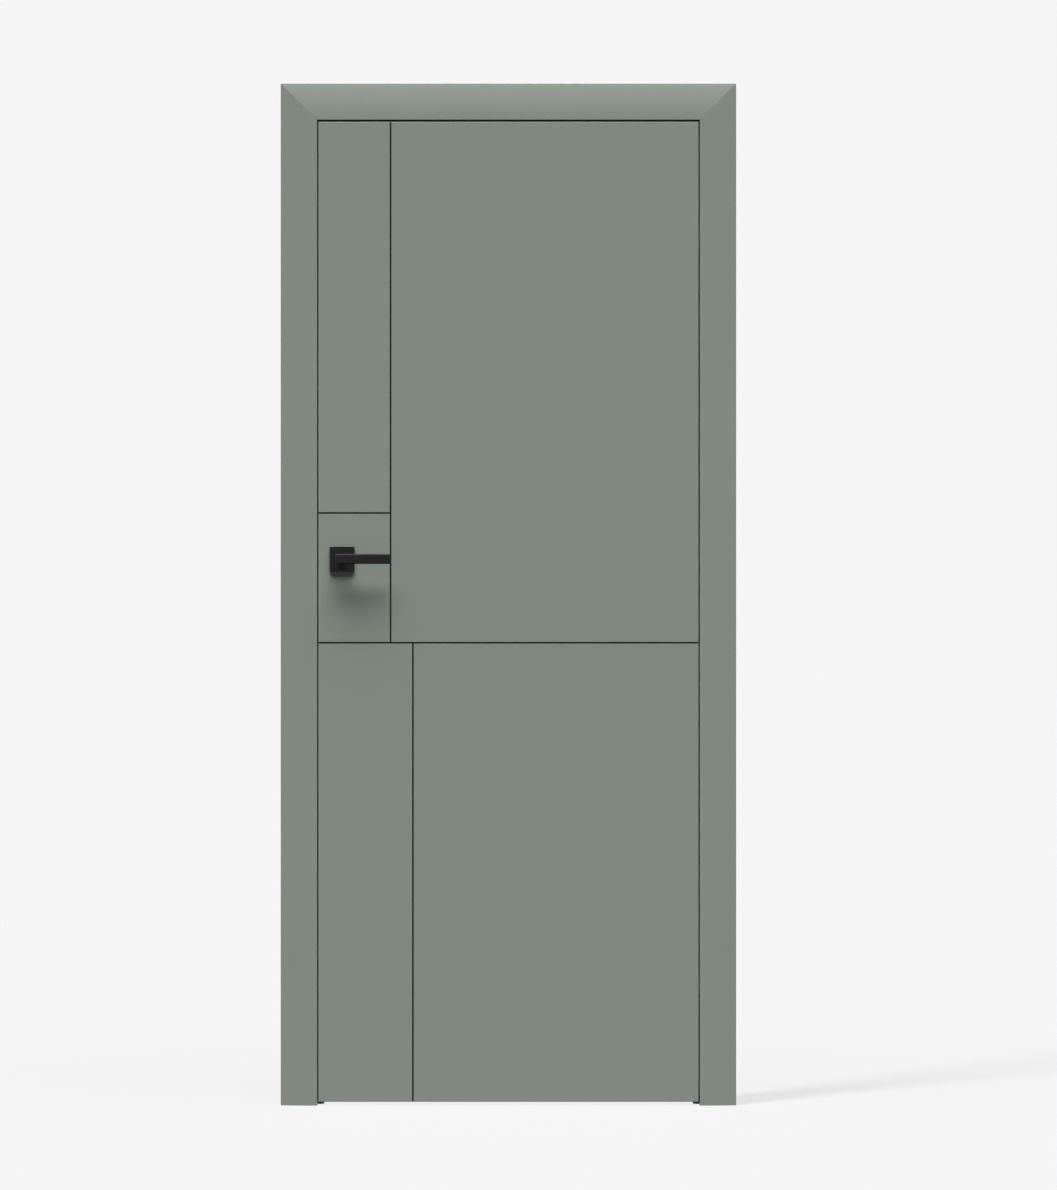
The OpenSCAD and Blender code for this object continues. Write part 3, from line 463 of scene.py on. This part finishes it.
# %% [markdown]
# The front casing laps over the jamb with a thin lip and takes a spline in a slot, and a shallow
# groove behind lets it lie flat on an uneven wall.

# %% Front casings
CASING_THICK = 0.022
CASING_LIP = 0.006
SPLINE_FROM, SPLINE_TO, SPLINE_DEEP = 0.0195, 0.0245, 0.009

low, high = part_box("front_casing_right")
width = high[0] - low[0]
groove = CASING_THICK - RELIEF_DEPTH
slot_end = CASING_LIP + SPLINE_DEEP
behind = [
    (width, CASING_THICK), (RELIEF_END, CASING_THICK), (RELIEF_END, groove), (CASING_SEAT, groove),
    (CASING_SEAT, CASING_LIP), (SPLINE_TO, CASING_LIP), (SPLINE_TO, slot_end),
    (SPLINE_FROM, slot_end), (SPLINE_FROM, CASING_LIP), (0, CASING_LIP),
]
for name, side in (("front_casing_left", -1), ("front_casing_right", 1), ("front_casing_head", 0)):
    casing(name, side, 0.0, low[1], 1, width, behind, CASING_LIP)

# %% [markdown]
# The back casing has a long tongue instead, which slides in the lining's groove to suit the wall's
# thickness. It faces the other way, so its depths are counted forward from the back.

# %% Back casings
TONGUE_FROM, TONGUE_TO, TONGUE_LONG = 0.006, 0.012, 0.030

low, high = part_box("back_casing_right")
start = low[0] - x_in
width = high[0] - low[0]
thick = high[1] - low[1] - TONGUE_LONG
groove = thick - RELIEF_DEPTH
tongue_end = thick + TONGUE_LONG
behind = [
    (start + width, thick), (RELIEF_END, thick), (RELIEF_END, groove), (CASING_SEAT, groove),
    (CASING_SEAT, thick), (TONGUE_TO, thick), (TONGUE_TO, tongue_end),
    (TONGUE_FROM, tongue_end), (TONGUE_FROM, thick), (start, thick),
]
for name, side in (("back_casing_left", -1), ("back_casing_right", 1), ("back_casing_head", 0)):
    casing(name, side, start, high[1], -1, width, behind, thick)

# %% [markdown]
# The stop that the leaf closes against is a plain board planted on the jamb, run in the same way. A
# groove down its front holds the seal, and its two free arrises are rounded so that paint holds on.

# %% Stops
STOP_EASE = 0.0015
SEAL_FROM, SEAL_TO, SEAL_DEEP = -0.007, -0.004, 0.0072


def corners_of(name):
    """A solid's lowest and highest corners."""
    return [Vector(corner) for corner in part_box(name)]


low, high = corners_of("hinge_stop")
stop_s = low.x - x_in
stop_deep = high.y - low.y
for name, side in (("strike_stop", -1), ("hinge_stop", 1), ("head_stop", 0)):
    bm = bmesh.new()
    first = bm.verts.new((stop_s, 0, 0))
    last = carry_on(bm, first, [
        (SEAL_FROM, 0), (SEAL_FROM, SEAL_DEEP), (SEAL_TO, SEAL_DEEP), (SEAL_TO, 0),
        (0, 0), (0, stop_deep), (stop_s, stop_deep),
    ])
    bm.edges.new((last, first))
    run_moulding(bm, name, side, low.y, 1, STOP_EASE, [(stop_s, 0), (stop_s, stop_deep)])

# %% [markdown]
# The ironmongery is made from boxes and from loops of edges. A face is taken out, a round or square
# loop is drawn in the hole, the two are filled between, and the loop is pulled in or out. That gives
# necks, holes and hollows without cutting one mesh with another, which often leaves poor faces.

# %% Box and loop helpers
def add_box(bm, low, high):
    at = Matrix.Translation((low + high) / 2) @ Matrix.Diagonal(high - low).to_4x4()
    bmesh.ops.create_cube(bm, size=1.0, matrix=at)


def flat_face(bm, depth):
    """The largest face that lies at one depth (y)."""
    level = [f for f in bm.faces if all(abs(v.co.y - depth) < TOUCHING for v in f.verts)]
    return max(level, key=lambda f: f.calc_area())


def open_face(bm, face):
    """Takes a face out and returns the edges round the hole."""
    edges = face.edges[:]
    bmesh.ops.delete(bm, geom=[face], context="FACES_ONLY")
    return edges


def ring(bm, radius, segments, place, turn=0.0):
    """A circle, or a polygon, that faces along Y."""
    at = (Matrix.Translation(place) @ Matrix.Rotation(math.radians(-90), 4, "X")
          @ Matrix.Rotation(turn, 4, "Z"))
    made = bmesh.ops.create_circle(bm, cap_ends=False, radius=radius, segments=segments, matrix=at)
    return list(dict.fromkeys(edge for vert in made["verts"] for edge in vert.link_edges))


def fill(bm, edges):
    """Fills the flat area between an outer loop and the loops inside it."""
    bmesh.ops.triangle_fill(bm, use_beauty=True, use_dissolve=False, edges=edges)


def pull(bm, edges, step, centre=None, scale=1.0):
    """Extrudes a loop of edges by a step, growing or shrinking it about a centre."""
    made = bmesh.ops.extrude_edge_only(bm, edges=edges)["geom"]
    verts = verts_of(made)
    if scale != 1.0:
        for vert in verts:
            vert.co.x = centre.x + (vert.co.x - centre.x) * scale
            vert.co.z = centre.z + (vert.co.z - centre.z) * scale
    bmesh.ops.translate(bm, verts=verts, vec=step)
    return [g for g in made if isinstance(g, bmesh.types.BMEdge) and all(v in verts for v in g.verts)]


def set_depth(bm, out_y, way):
    """Puts a piece drawn from y = 0 inwards at its outer face, on the front (1) or the back (-1)."""
    for vert in bm.verts:
        vert.co.y = out_y + way * vert.co.y


print("box and loop helpers ready")

# %% [markdown]
# The lever is a square-cut bar on a round neck, die-cast in one piece. It starts as a box: the heel's
# corners are rounded, the outer face gets a flat chamfer, and every arris is then softened a little,
# as tumbling leaves it. The neck grows out of a round opening in the bar's back, with a small fillet.

# %% Levers
LEVER_THICK = 0.012
LEVER_CHAMFER = 0.002
HEEL_RADIUS = 0.003
SOFT_EDGE = 0.00035
NECK_RADIUS = 0.009
NECK_FILLET = 0.0012
NECK_STEPS = 56
FILLET_TURNS = (0, 30, 60, 90)


def grow_neck(bm, rim, centre, length):
    """A round neck with a filleted foot, from the opening that rim goes round."""
    neck = ring(bm, NECK_RADIUS + NECK_FILLET, NECK_STEPS, centre)
    fill(bm, rim + neck)
    for before, after in zip(FILLET_TURNS, FILLET_TURNS[1:]):
        was = NECK_RADIUS + NECK_FILLET * (1 - math.sin(math.radians(before)))
        now = NECK_RADIUS + NECK_FILLET * (1 - math.sin(math.radians(after)))
        rise = NECK_FILLET * (math.cos(math.radians(before)) - math.cos(math.radians(after)))
        neck = pull(bm, neck, (0, rise, 0), centre, now / was)
    neck = pull(bm, neck, (0, length - NECK_FILLET, 0))
    bmesh.ops.contextual_create(bm, geom=neck)


def lever(name, out_y, way):
    low, high = corners_of(name)
    axis = Vector((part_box("spindle")[0][0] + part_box("spindle")[1][0], 0, low.z + high.z)) / 2
    size = Vector((high.x - low.x, LEVER_THICK, high.z - low.z))
    middle = Vector(((low.x + high.x) / 2, LEVER_THICK / 2, axis.z))
    bm = bmesh.new()
    add_box(bm, middle - size / 2, middle + size / 2)
    heel = [edge for edge in bm.edges if all(v.co.x < low.x + TOUCHING for v in edge.verts)
            and abs(edge.verts[0].co.z - edge.verts[1].co.z) < TOUCHING]
    ease(bm, heel, HEEL_RADIUS, segments=6)
    ease(bm, flat_face(bm, 0.0).edges[:], LEVER_CHAMFER, segments=1)
    sharp = [edge for edge in bm.edges if edge.calc_face_angle(0.0) > HARD_ANGLE]
    ease(bm, sharp, SOFT_EDGE, segments=2)
    rim = open_face(bm, flat_face(bm, LEVER_THICK))
    grow_neck(bm, rim, Vector((axis.x, LEVER_THICK, axis.z)), high.y - low.y - LEVER_THICK)
    set_depth(bm, out_y, way)
    add_piece(bm, name + "_casting", "handle", "black_metal", name)


lever("front_lever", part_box("front_lever")[0][1], 1)
lever("back_lever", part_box("back_lever")[1][1], -1)

# %% [markdown]
# The rose is a square cap pressed from sheet: a rounded rim, thin walls and a round hole for the
# neck. The box is opened at its face and its back, and loops pulled inward make the hollow.

# %% Roses
ROSE_WALL = 0.0018
ROSE_RIM = 0.0008
ROSE_CORNER = 0.0006
ROSE_HOLE = 0.0093


def rose(name, out_y, way):
    low, high = corners_of(name)
    size = high - low
    middle = (low + high) / 2
    bm = bmesh.new()
    place = Vector((middle.x, size.y / 2, middle.z))
    add_box(bm, place - size / 2, place + size / 2)
    corners = [e for e in bm.edges if abs(e.verts[0].co.y - e.verts[1].co.y) > size.y / 2]
    ease(bm, corners, ROSE_CORNER, segments=3)
    ease(bm, flat_face(bm, 0.0).edges[:], ROSE_RIM, segments=3)
    front_rim = open_face(bm, flat_face(bm, 0.0))
    back_rim = open_face(bm, flat_face(bm, size.y))
    hole = ring(bm, ROSE_HOLE, NECK_STEPS, Vector((middle.x, 0, middle.z)))
    fill(bm, front_rim + hole)
    hole = pull(bm, hole, (0, ROSE_WALL, 0))
    half = size.x / 2 - ROSE_WALL
    inner_place = Vector((middle.x, ROSE_WALL, middle.z))
    inner = ring(bm, half * math.sqrt(2), 4, inner_place, math.radians(45))
    fill(bm, hole + inner)
    inner = pull(bm, inner, (0, size.y - ROSE_WALL, 0))
    fill(bm, inner + back_rim)
    set_depth(bm, out_y, way)
    add_piece(bm, name + "_cap", "leaf", "black_metal", name)


rose("front_rose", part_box("front_rose")[0][1], 1)
rose("back_rose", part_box("back_rose")[1][1], -1)

# %% [markdown]
# The plates and screws in the door's edge face along X. They are drawn round the origin and facing Y,
# like everything above, because the same helpers then serve, and a last step turns them. The screws
# of one kind share a node, so their places are found by gathering its points into heaps.

# %% Facing along X
SCREW_HEAD = 0.0035
SCREW_SHANK = 0.00175
SCREW_STEPS = 24


def turn_to_x(verts, face_x, way, centre):
    """Turns points drawn round the origin and facing Y so that their depth runs along X."""
    for vert in verts:
        x, depth, z = vert.co
        vert.co = (face_x + way * depth, centre.y + x, centre.z + z)


def islands(name):
    """The separate screws of one node, as boxes, from the lowest up."""
    node = frame["nodes"][name]
    found = []
    for place in sorted((node.matrix_world @ v.co for v in node.data.vertices), key=lambda p: p.z):
        if not found or place.z - found[-1][-1].z > SCREW_SHANK:
            found.append([])
        found[-1].append(place)
    return [(Vector(map(min, zip(*points))), Vector(map(max, zip(*points)))) for points in found]


print("forend screws:", len(islands("forend_screws")))

# %% [markdown]
# The latch's forend and the strike are strips of plated steel with round ends, punched with a window
# for the bolt and countersunk for their screws. They show when the door stands open. Front and back
# are left open until all the holes are in, and each is then filled in one go.

# %% Forend and strike plates
PLATE_EASE = 0.0004
PLATE_END_STEPS = 32
SCREW_PLAY = 0.00005
BOLT_PLAY = 0.0003
STRIKE_PLAY = 0.0015


def plate_blank(bm, thick, wide, tall):
    """A strip with round ends and an eased front; returns its front and back rims, left open."""
    rim = ring(bm, wide / 2, PLATE_END_STEPS, Vector(), math.pi / PLATE_END_STEPS)
    for vert in bm.verts:
        vert.co.z += math.copysign((tall - wide) / 2, vert.co.z)
    bmesh.ops.contextual_create(bm, geom=rim)
    deep = bmesh.ops.extrude_face_region(bm, geom=bm.faces[:])["geom"]
    bmesh.ops.translate(bm, verts=verts_of(deep), vec=(0, thick, 0))
    ease(bm, flat_face(bm, 0.0).edges[:], PLATE_EASE, segments=3)
    front = open_face(bm, flat_face(bm, 0.0))
    return front, open_face(bm, flat_face(bm, thick))


def punch_window(bm, thick, low, high, play):
    """A square hole round the bolt; returns its front and back edges."""
    half = (high - low) / 2
    hole = ring(bm, 1.0, 4, Vector(), math.radians(45))
    for vert in {v for edge in hole for v in edge.verts}:
        vert.co.x = math.copysign(half.y + play, vert.co.x)
        vert.co.z = math.copysign(half.z + play, vert.co.z) + (low.z + high.z) / 2
    return hole, pull(bm, hole, (0, thick, 0))


def countersink(bm, thick, middle):
    """A cone for a screw's head and a hole for its shank; returns the front and back edges."""
    head, shank = SCREW_HEAD + SCREW_PLAY, SCREW_SHANK + SCREW_PLAY
    hole = ring(bm, head, SCREW_STEPS, middle)
    narrow = pull(bm, hole, (0, head - shank, 0), middle, shank / head)
    return hole, pull(bm, narrow, (0, thick - head + shank, 0))


def plate(name, body, way, play, screws):
    low, high = corners_of(name)
    centre = (low + high) / 2
    thick, wide, tall = high - low
    bm = bmesh.new()
    front, back = plate_blank(bm, thick, wide, tall)
    bolt_low, bolt_high = corners_of("latch_bolt")
    holes = [punch_window(bm, thick, bolt_low - centre, bolt_high - centre, play)]
    for start, end in islands(screws):
        holes.append(countersink(bm, thick, Vector((0, 0, (start.z + end.z) / 2 - centre.z))))
    fill(bm, front + [edge for hole in holes for edge in hole[0]])
    fill(bm, back + [edge for hole in holes for edge in hole[1]])
    turn_to_x(bm.verts, low.x if way > 0 else high.x, way, centre)
    add_piece(bm, name + "_strip", body, slot_of[name], name)


plate("latch_forend", "leaf", 1, BOLT_PLAY, "forend_screws")
plate("strike_plate", "frame", -1, STRIKE_PLAY, "strike_plate_screws")

# %% [markdown]
# The plates and the hinges are held by countersunk screws with a cross recess. A screw is loops of
# edges pulled along its axis: the recess sinks from the face and tapers, and the outside runs down
# the cone of the head, along the shank and into a point. Threads stay hidden in the wood, so they
# are left off.

# %% Screws
CROSS_ARM = 0.0021
CROSS_HALF = 0.00055
CROSS_DEPTH = 0.0017
CROSS_TAPER = 0.55
POINT_LENGTH = 0.003
POINT_TAPER = 0.3


def cross_outline(bm):
    """The edges of a cross, drawn round the origin."""
    corners = []
    for quarter in range(4):
        turn = Matrix.Rotation(math.radians(90 * quarter), 3, "Y")
        for x, z in ((-CROSS_HALF, CROSS_ARM), (CROSS_HALF, CROSS_ARM), (CROSS_HALF, CROSS_HALF)):
            corners.append(bm.verts.new(turn @ Vector((x, 0, z))))
    return [bm.edges.new((corners[i - 1], corners[i])) for i in range(len(corners))]


def screws(name, body, way):
    bm = bmesh.new()
    for low, high in islands(name):
        first = len(bm.verts)
        outside = ring(bm, SCREW_HEAD, SCREW_STEPS, Vector())
        cross = cross_outline(bm)
        fill(bm, outside + cross)
        recess = pull(bm, cross, (0, CROSS_DEPTH, 0), Vector(), CROSS_TAPER)
        bmesh.ops.contextual_create(bm, geom=recess)
        length = high.x - low.x
        cone = SCREW_HEAD - SCREW_SHANK
        outside = pull(bm, outside, (0, cone, 0), Vector(), SCREW_SHANK / SCREW_HEAD)
        outside = pull(bm, outside, (0, length - cone - POINT_LENGTH, 0))
        outside = pull(bm, outside, (0, POINT_LENGTH, 0), Vector(), POINT_TAPER)
        bmesh.ops.contextual_create(bm, geom=outside)
        bm.verts.ensure_lookup_table()
        turn_to_x(bm.verts[first:], low.x if way > 0 else high.x, way, (low + high) / 2)
    add_piece(bm, name + "_crossed", body, slot_of[name], name)


screws("forend_screws", "leaf", 1)
screws("strike_plate_screws", "frame", -1)
screws("hinge_frame_screws", "frame", 1)
screws("hinge_leaf_screws", "leaf", -1)

# %% [markdown]
# The latch bolt is a block with one sloping side, which lets the door push it back as it closes. Its
# outline is drawn from above, extruded to its height, and every arris outside the case is rounded.
# A tail carries it over the follower to a hook, which the follower's arm pulls. It is plated black
# like its forend, so that no bright spot shows in the gap of the closed door.

# %% Latch bolt
BOLT_HEAD = 0.030
BOLT_NOSE = 0.003
BOLT_SLOPE = 0.009
BOLT_EASE = 0.0005
TAIL_WIDE, TAIL_TALL = 0.008, 0.004
HOOK_THICK, HOOK_TALL = 0.004, 0.0135

low, high = corners_of("latch_bolt")
bm = bmesh.new()
first = bm.verts.new((low.x + BOLT_HEAD, low.y, 0))
last = carry_on(bm, first, [
    (low.x, low.y), (low.x, low.y + BOLT_NOSE),
    (low.x + BOLT_SLOPE, high.y), (low.x + BOLT_HEAD, high.y),
])
bm.edges.new((last, first))
bmesh.ops.contextual_create(bm, geom=bm.edges[:])
raised = bmesh.ops.extrude_face_region(bm, geom=bm.faces[:])["geom"]
bmesh.ops.translate(bm, verts=verts_of(raised), vec=(0, 0, high.z - low.z))
bmesh.ops.translate(bm, verts=bm.verts[:], vec=(0, 0, low.z))
outside = [e for e in bm.edges if min(v.co.x for v in e.verts) < low.x + BOLT_HEAD - BOLT_EASE]
ease(bm, outside, BOLT_EASE, segments=3)
middle_y = (low.y + high.y) / 2
tail_y = (middle_y - TAIL_WIDE / 2, middle_y + TAIL_WIDE / 2)
tail_x, hook_x = low.x + BOLT_HEAD, high.x - HOOK_THICK
add_box(bm, Vector((tail_x, tail_y[0], high.z - TAIL_TALL)), Vector((hook_x, tail_y[1], high.z)))
add_box(bm, Vector((hook_x, tail_y[0], high.z - HOOK_TALL)), Vector((high.x, tail_y[1], high.z)))
add_piece(bm, "latch_bolt_block", "latch", "black_plate", "latch_bolt")

# %% [markdown]
# A coil spring pushes the bolt out. Wire wound on a rod is a circle spun round an axis while it moves
# along it. The spring is the one piece that changes shape: as the bolt slides in, it squashes
# towards the back of the case by the bolt's travel.

# %% Latch spring
SPRING_TURNS = 6
SPRING_STEPS = 20
WIRE_RADIUS = 0.0006
WIRE_STEPS = 8

low, high = corners_of("latch_spring")
middle = (low + high) / 2
first_x = low.x + WIRE_RADIUS
pitch = (high.x - low.x - 2 * WIRE_RADIUS) / SPRING_TURNS
bm = bmesh.new()
at = Matrix.Translation((first_x, high.y - WIRE_RADIUS, middle.z))
bmesh.ops.create_circle(bm, cap_ends=False, radius=WIRE_RADIUS, segments=WIRE_STEPS, matrix=at)
bmesh.ops.spin(bm, geom=bm.verts[:] + bm.edges[:], cent=(first_x, middle.y, middle.z),
               axis=(1, 0, 0), dvec=(pitch / SPRING_STEPS, 0, 0), angle=math.tau * SPRING_TURNS,
               steps=SPRING_STEPS * SPRING_TURNS)
bmesh.ops.holes_fill(bm, edges=[e for e in bm.edges if e.is_boundary])
spring = add_piece(bm, "latch_spring_coil", "leaf", "steel", "latch_spring")
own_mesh(spring)

# %% [markdown]
# The studio is a pale room without corners. Three soft suns in a row, high and in front, act as one
# long softbox: they give the head casing its gradient and the handle its soft shadow. Their heights
# follow one slope, so the shadows of all three fall equally far down the leaf. Two lower suns from
# behind light the sides and the back at the same plain level.

# %% Suns
KEY_STRENGTH = 2.45
KEY_STEEPNESS = 2.4
KEY_TURNS = (-34.0, 0.0, 34.0)
KEY_SPREAD = 32.0
REAR_STRENGTH = 3.0
REAR_ELEVATION = 25.0
REAR_TURN = 125.0
REAR_SPREAD = 40.0


def add_sun(name, strength, elevation, turn, spread):
    """A sun in front of the door, turned to the left by turn degrees."""
    data = bpy.data.lights.new(name, "SUN")
    data.energy = strength
    data.angle = math.radians(spread)
    made = bpy.data.objects.new(name, data)
    made.rotation_euler = (math.radians(90 - elevation), 0, math.radians(-turn))
    scene.collection.objects.link(made)
    return made


for number, turn in enumerate(KEY_TURNS):
    elevation = math.degrees(math.atan(KEY_STEEPNESS * math.cos(math.radians(turn))))
    key = add_sun(f"key_sun_{number}", KEY_STRENGTH, elevation, turn, KEY_SPREAD)
    print(key.name, "stands", round(elevation), "degrees high")
rears = [add_sun("rear_sun_left", REAR_STRENGTH, REAR_ELEVATION, REAR_TURN, REAR_SPREAD),
         add_sun("rear_sun_right", REAR_STRENGTH, REAR_ELEVATION, -REAR_TURN, REAR_SPREAD)]
print("rear suns:", *(sun.name for sun in rears))

# %% [markdown]
# A photographer's sweep has no horizon, so the camera sees floor and sky as one pale grey. As a lamp
# the sky is dim: the Light Path node tells apart the rays that look at it from those that it lights.

# %% Sky
PALE = 0.913
SKY_STRENGTH = 0.06


def grey(value):
    return (value, value, value, 1)


def seen_directly(tree):
    """1 for rays from the camera, a mirror or glass, else 0."""
    path = tree.nodes.new("ShaderNodeLightPath")
    mirror = add_node(tree, "ShaderNodeMath", operation="MAXIMUM")
    glass = add_node(tree, "ShaderNodeMath", operation="MAXIMUM")
    tree.links.new(path.outputs["Is Camera Ray"], mirror.inputs[0])
    tree.links.new(path.outputs["Is Glossy Ray"], mirror.inputs[1])
    tree.links.new(mirror.outputs[0], glass.inputs[0])
    tree.links.new(path.outputs["Is Transmission Ray"], glass.inputs[1])
    return glass.outputs[0]


world = bpy.data.worlds.new("pale_studio")
world.use_nodes = True
tree = world.node_tree
sky = tree.nodes["Background"]
sky.inputs["Color"].default_value = grey(1)
sky.inputs["Strength"].default_value = SKY_STRENGTH
backdrop = add_node(tree, "ShaderNodeBackground", {"Color": grey(PALE), "Strength": 1.0})
choose = tree.nodes.new("ShaderNodeMixShader")
tree.links.new(seen_directly(tree), choose.inputs[0])
tree.links.new(sky.outputs[0], choose.inputs[1])
tree.links.new(backdrop.outputs[0], choose.inputs[2])
tree.links.new(choose.outputs[0], tree.nodes["World Output"].inputs["Surface"])
scene.world = world
print("sky:", world.name)

# %% [markdown]
# Most of the floor's pale grey is a glow, and only a little of its real shading is let through, so
# that shadows stay faint and the lit floor matches the backdrop. Rays that bounce off it find a dark
# floor, which keeps the leaf's foot as even in tone as its head.

# %% Floor finish
FLOOR_BOUNCE = 0.032
FLOOR_GLOW = 0.7636
FLOOR_GREY = 0.6
FLOOR_SHADING = 0.056

floor_finish = bpy.data.materials.new("studio_floor")
floor_finish.use_nodes = True
tree = floor_finish.node_tree
tree.nodes.remove(tree.nodes["Principled BSDF"])
bounce = add_node(tree, "ShaderNodeBsdfDiffuse", {"Color": grey(FLOOR_BOUNCE)})
shaded_floor = add_node(tree, "ShaderNodeBsdfDiffuse", {"Color": grey(FLOOR_GREY)})
glow = add_node(tree, "ShaderNodeEmission", {"Color": grey(FLOOR_GLOW), "Strength": 1.0})
seen = add_node(tree, "ShaderNodeMixShader", {0: FLOOR_SHADING})
tree.links.new(glow.outputs[0], seen.inputs[1])
tree.links.new(shaded_floor.outputs[0], seen.inputs[2])
choose = tree.nodes.new("ShaderNodeMixShader")
tree.links.new(seen_directly(tree), choose.inputs[0])
tree.links.new(bounce.outputs[0], choose.inputs[1])
tree.links.new(seen.outputs[0], choose.inputs[2])
tree.links.new(choose.outputs[0], tree.nodes["Material Output"].inputs["Surface"])
print("floor finish:", floor_finish.name)

# %% [markdown]
# The floor itself is one square at the door's foot, so wide that its far edge melts into the sky. It
# belongs to the studio and not to the door.

# %% Floor
FLOOR_HALF = 60.0

bm = bmesh.new()
bmesh.ops.create_grid(bm, x_segments=1, y_segments=1, size=FLOOR_HALF)
floor_mesh = bpy.data.meshes.new("studio_floor")
bm.to_mesh(floor_mesh)
bm.free()
floor_mesh.materials.append(floor_finish)
floor = bpy.data.objects.new("studio_floor", floor_mesh)
scene.collection.objects.link(floor)
print("floor:", 2 * FLOOR_HALF, "m square")

# %% [markdown]
# The row of suns shades the floor under and behind the whole door. The slim band that runs off to the
# right comes from one more sun, lower and from the left, that reaches nothing but the floor and is
# blocked only by the hinge side's post. Light linking sets both: which objects a lamp reaches, and
# which ones stand in its way. The rear suns skip the floor, or they would draw shadows towards the
# camera.

# %% Floor shadow
SIDE_STRENGTH = 15.0
SIDE_ELEVATION = 48.0
SIDE_TURN = 39.0
SIDE_SPREAD = 14.0
POST = ("hinge_jamb", "hinge_stop_moulding",
        "front_casing_right_moulding", "back_casing_right_moulding")

side = add_sun("side_sun", SIDE_STRENGTH, SIDE_ELEVATION, SIDE_TURN, SIDE_SPREAD)
floor_only = bpy.data.collections.new("floor_only")
floor_only.objects.link(floor)
side.light_linking.receiver_collection = floor_only
hinge_post = bpy.data.collections.new("hinge_post")
for name in POST:
    hinge_post.objects.link(bpy.data.objects[name])
side.light_linking.blocker_collection = hinge_post
all_but_floor = bpy.data.collections.new("all_but_floor")
all_but_floor.objects.link(floor)
all_but_floor.collection_objects[0].light_linking.link_state = "EXCLUDE"
for sun in rears:
    sun.light_linking.receiver_collection = all_but_floor
print("side sun blocked by:", *POST)
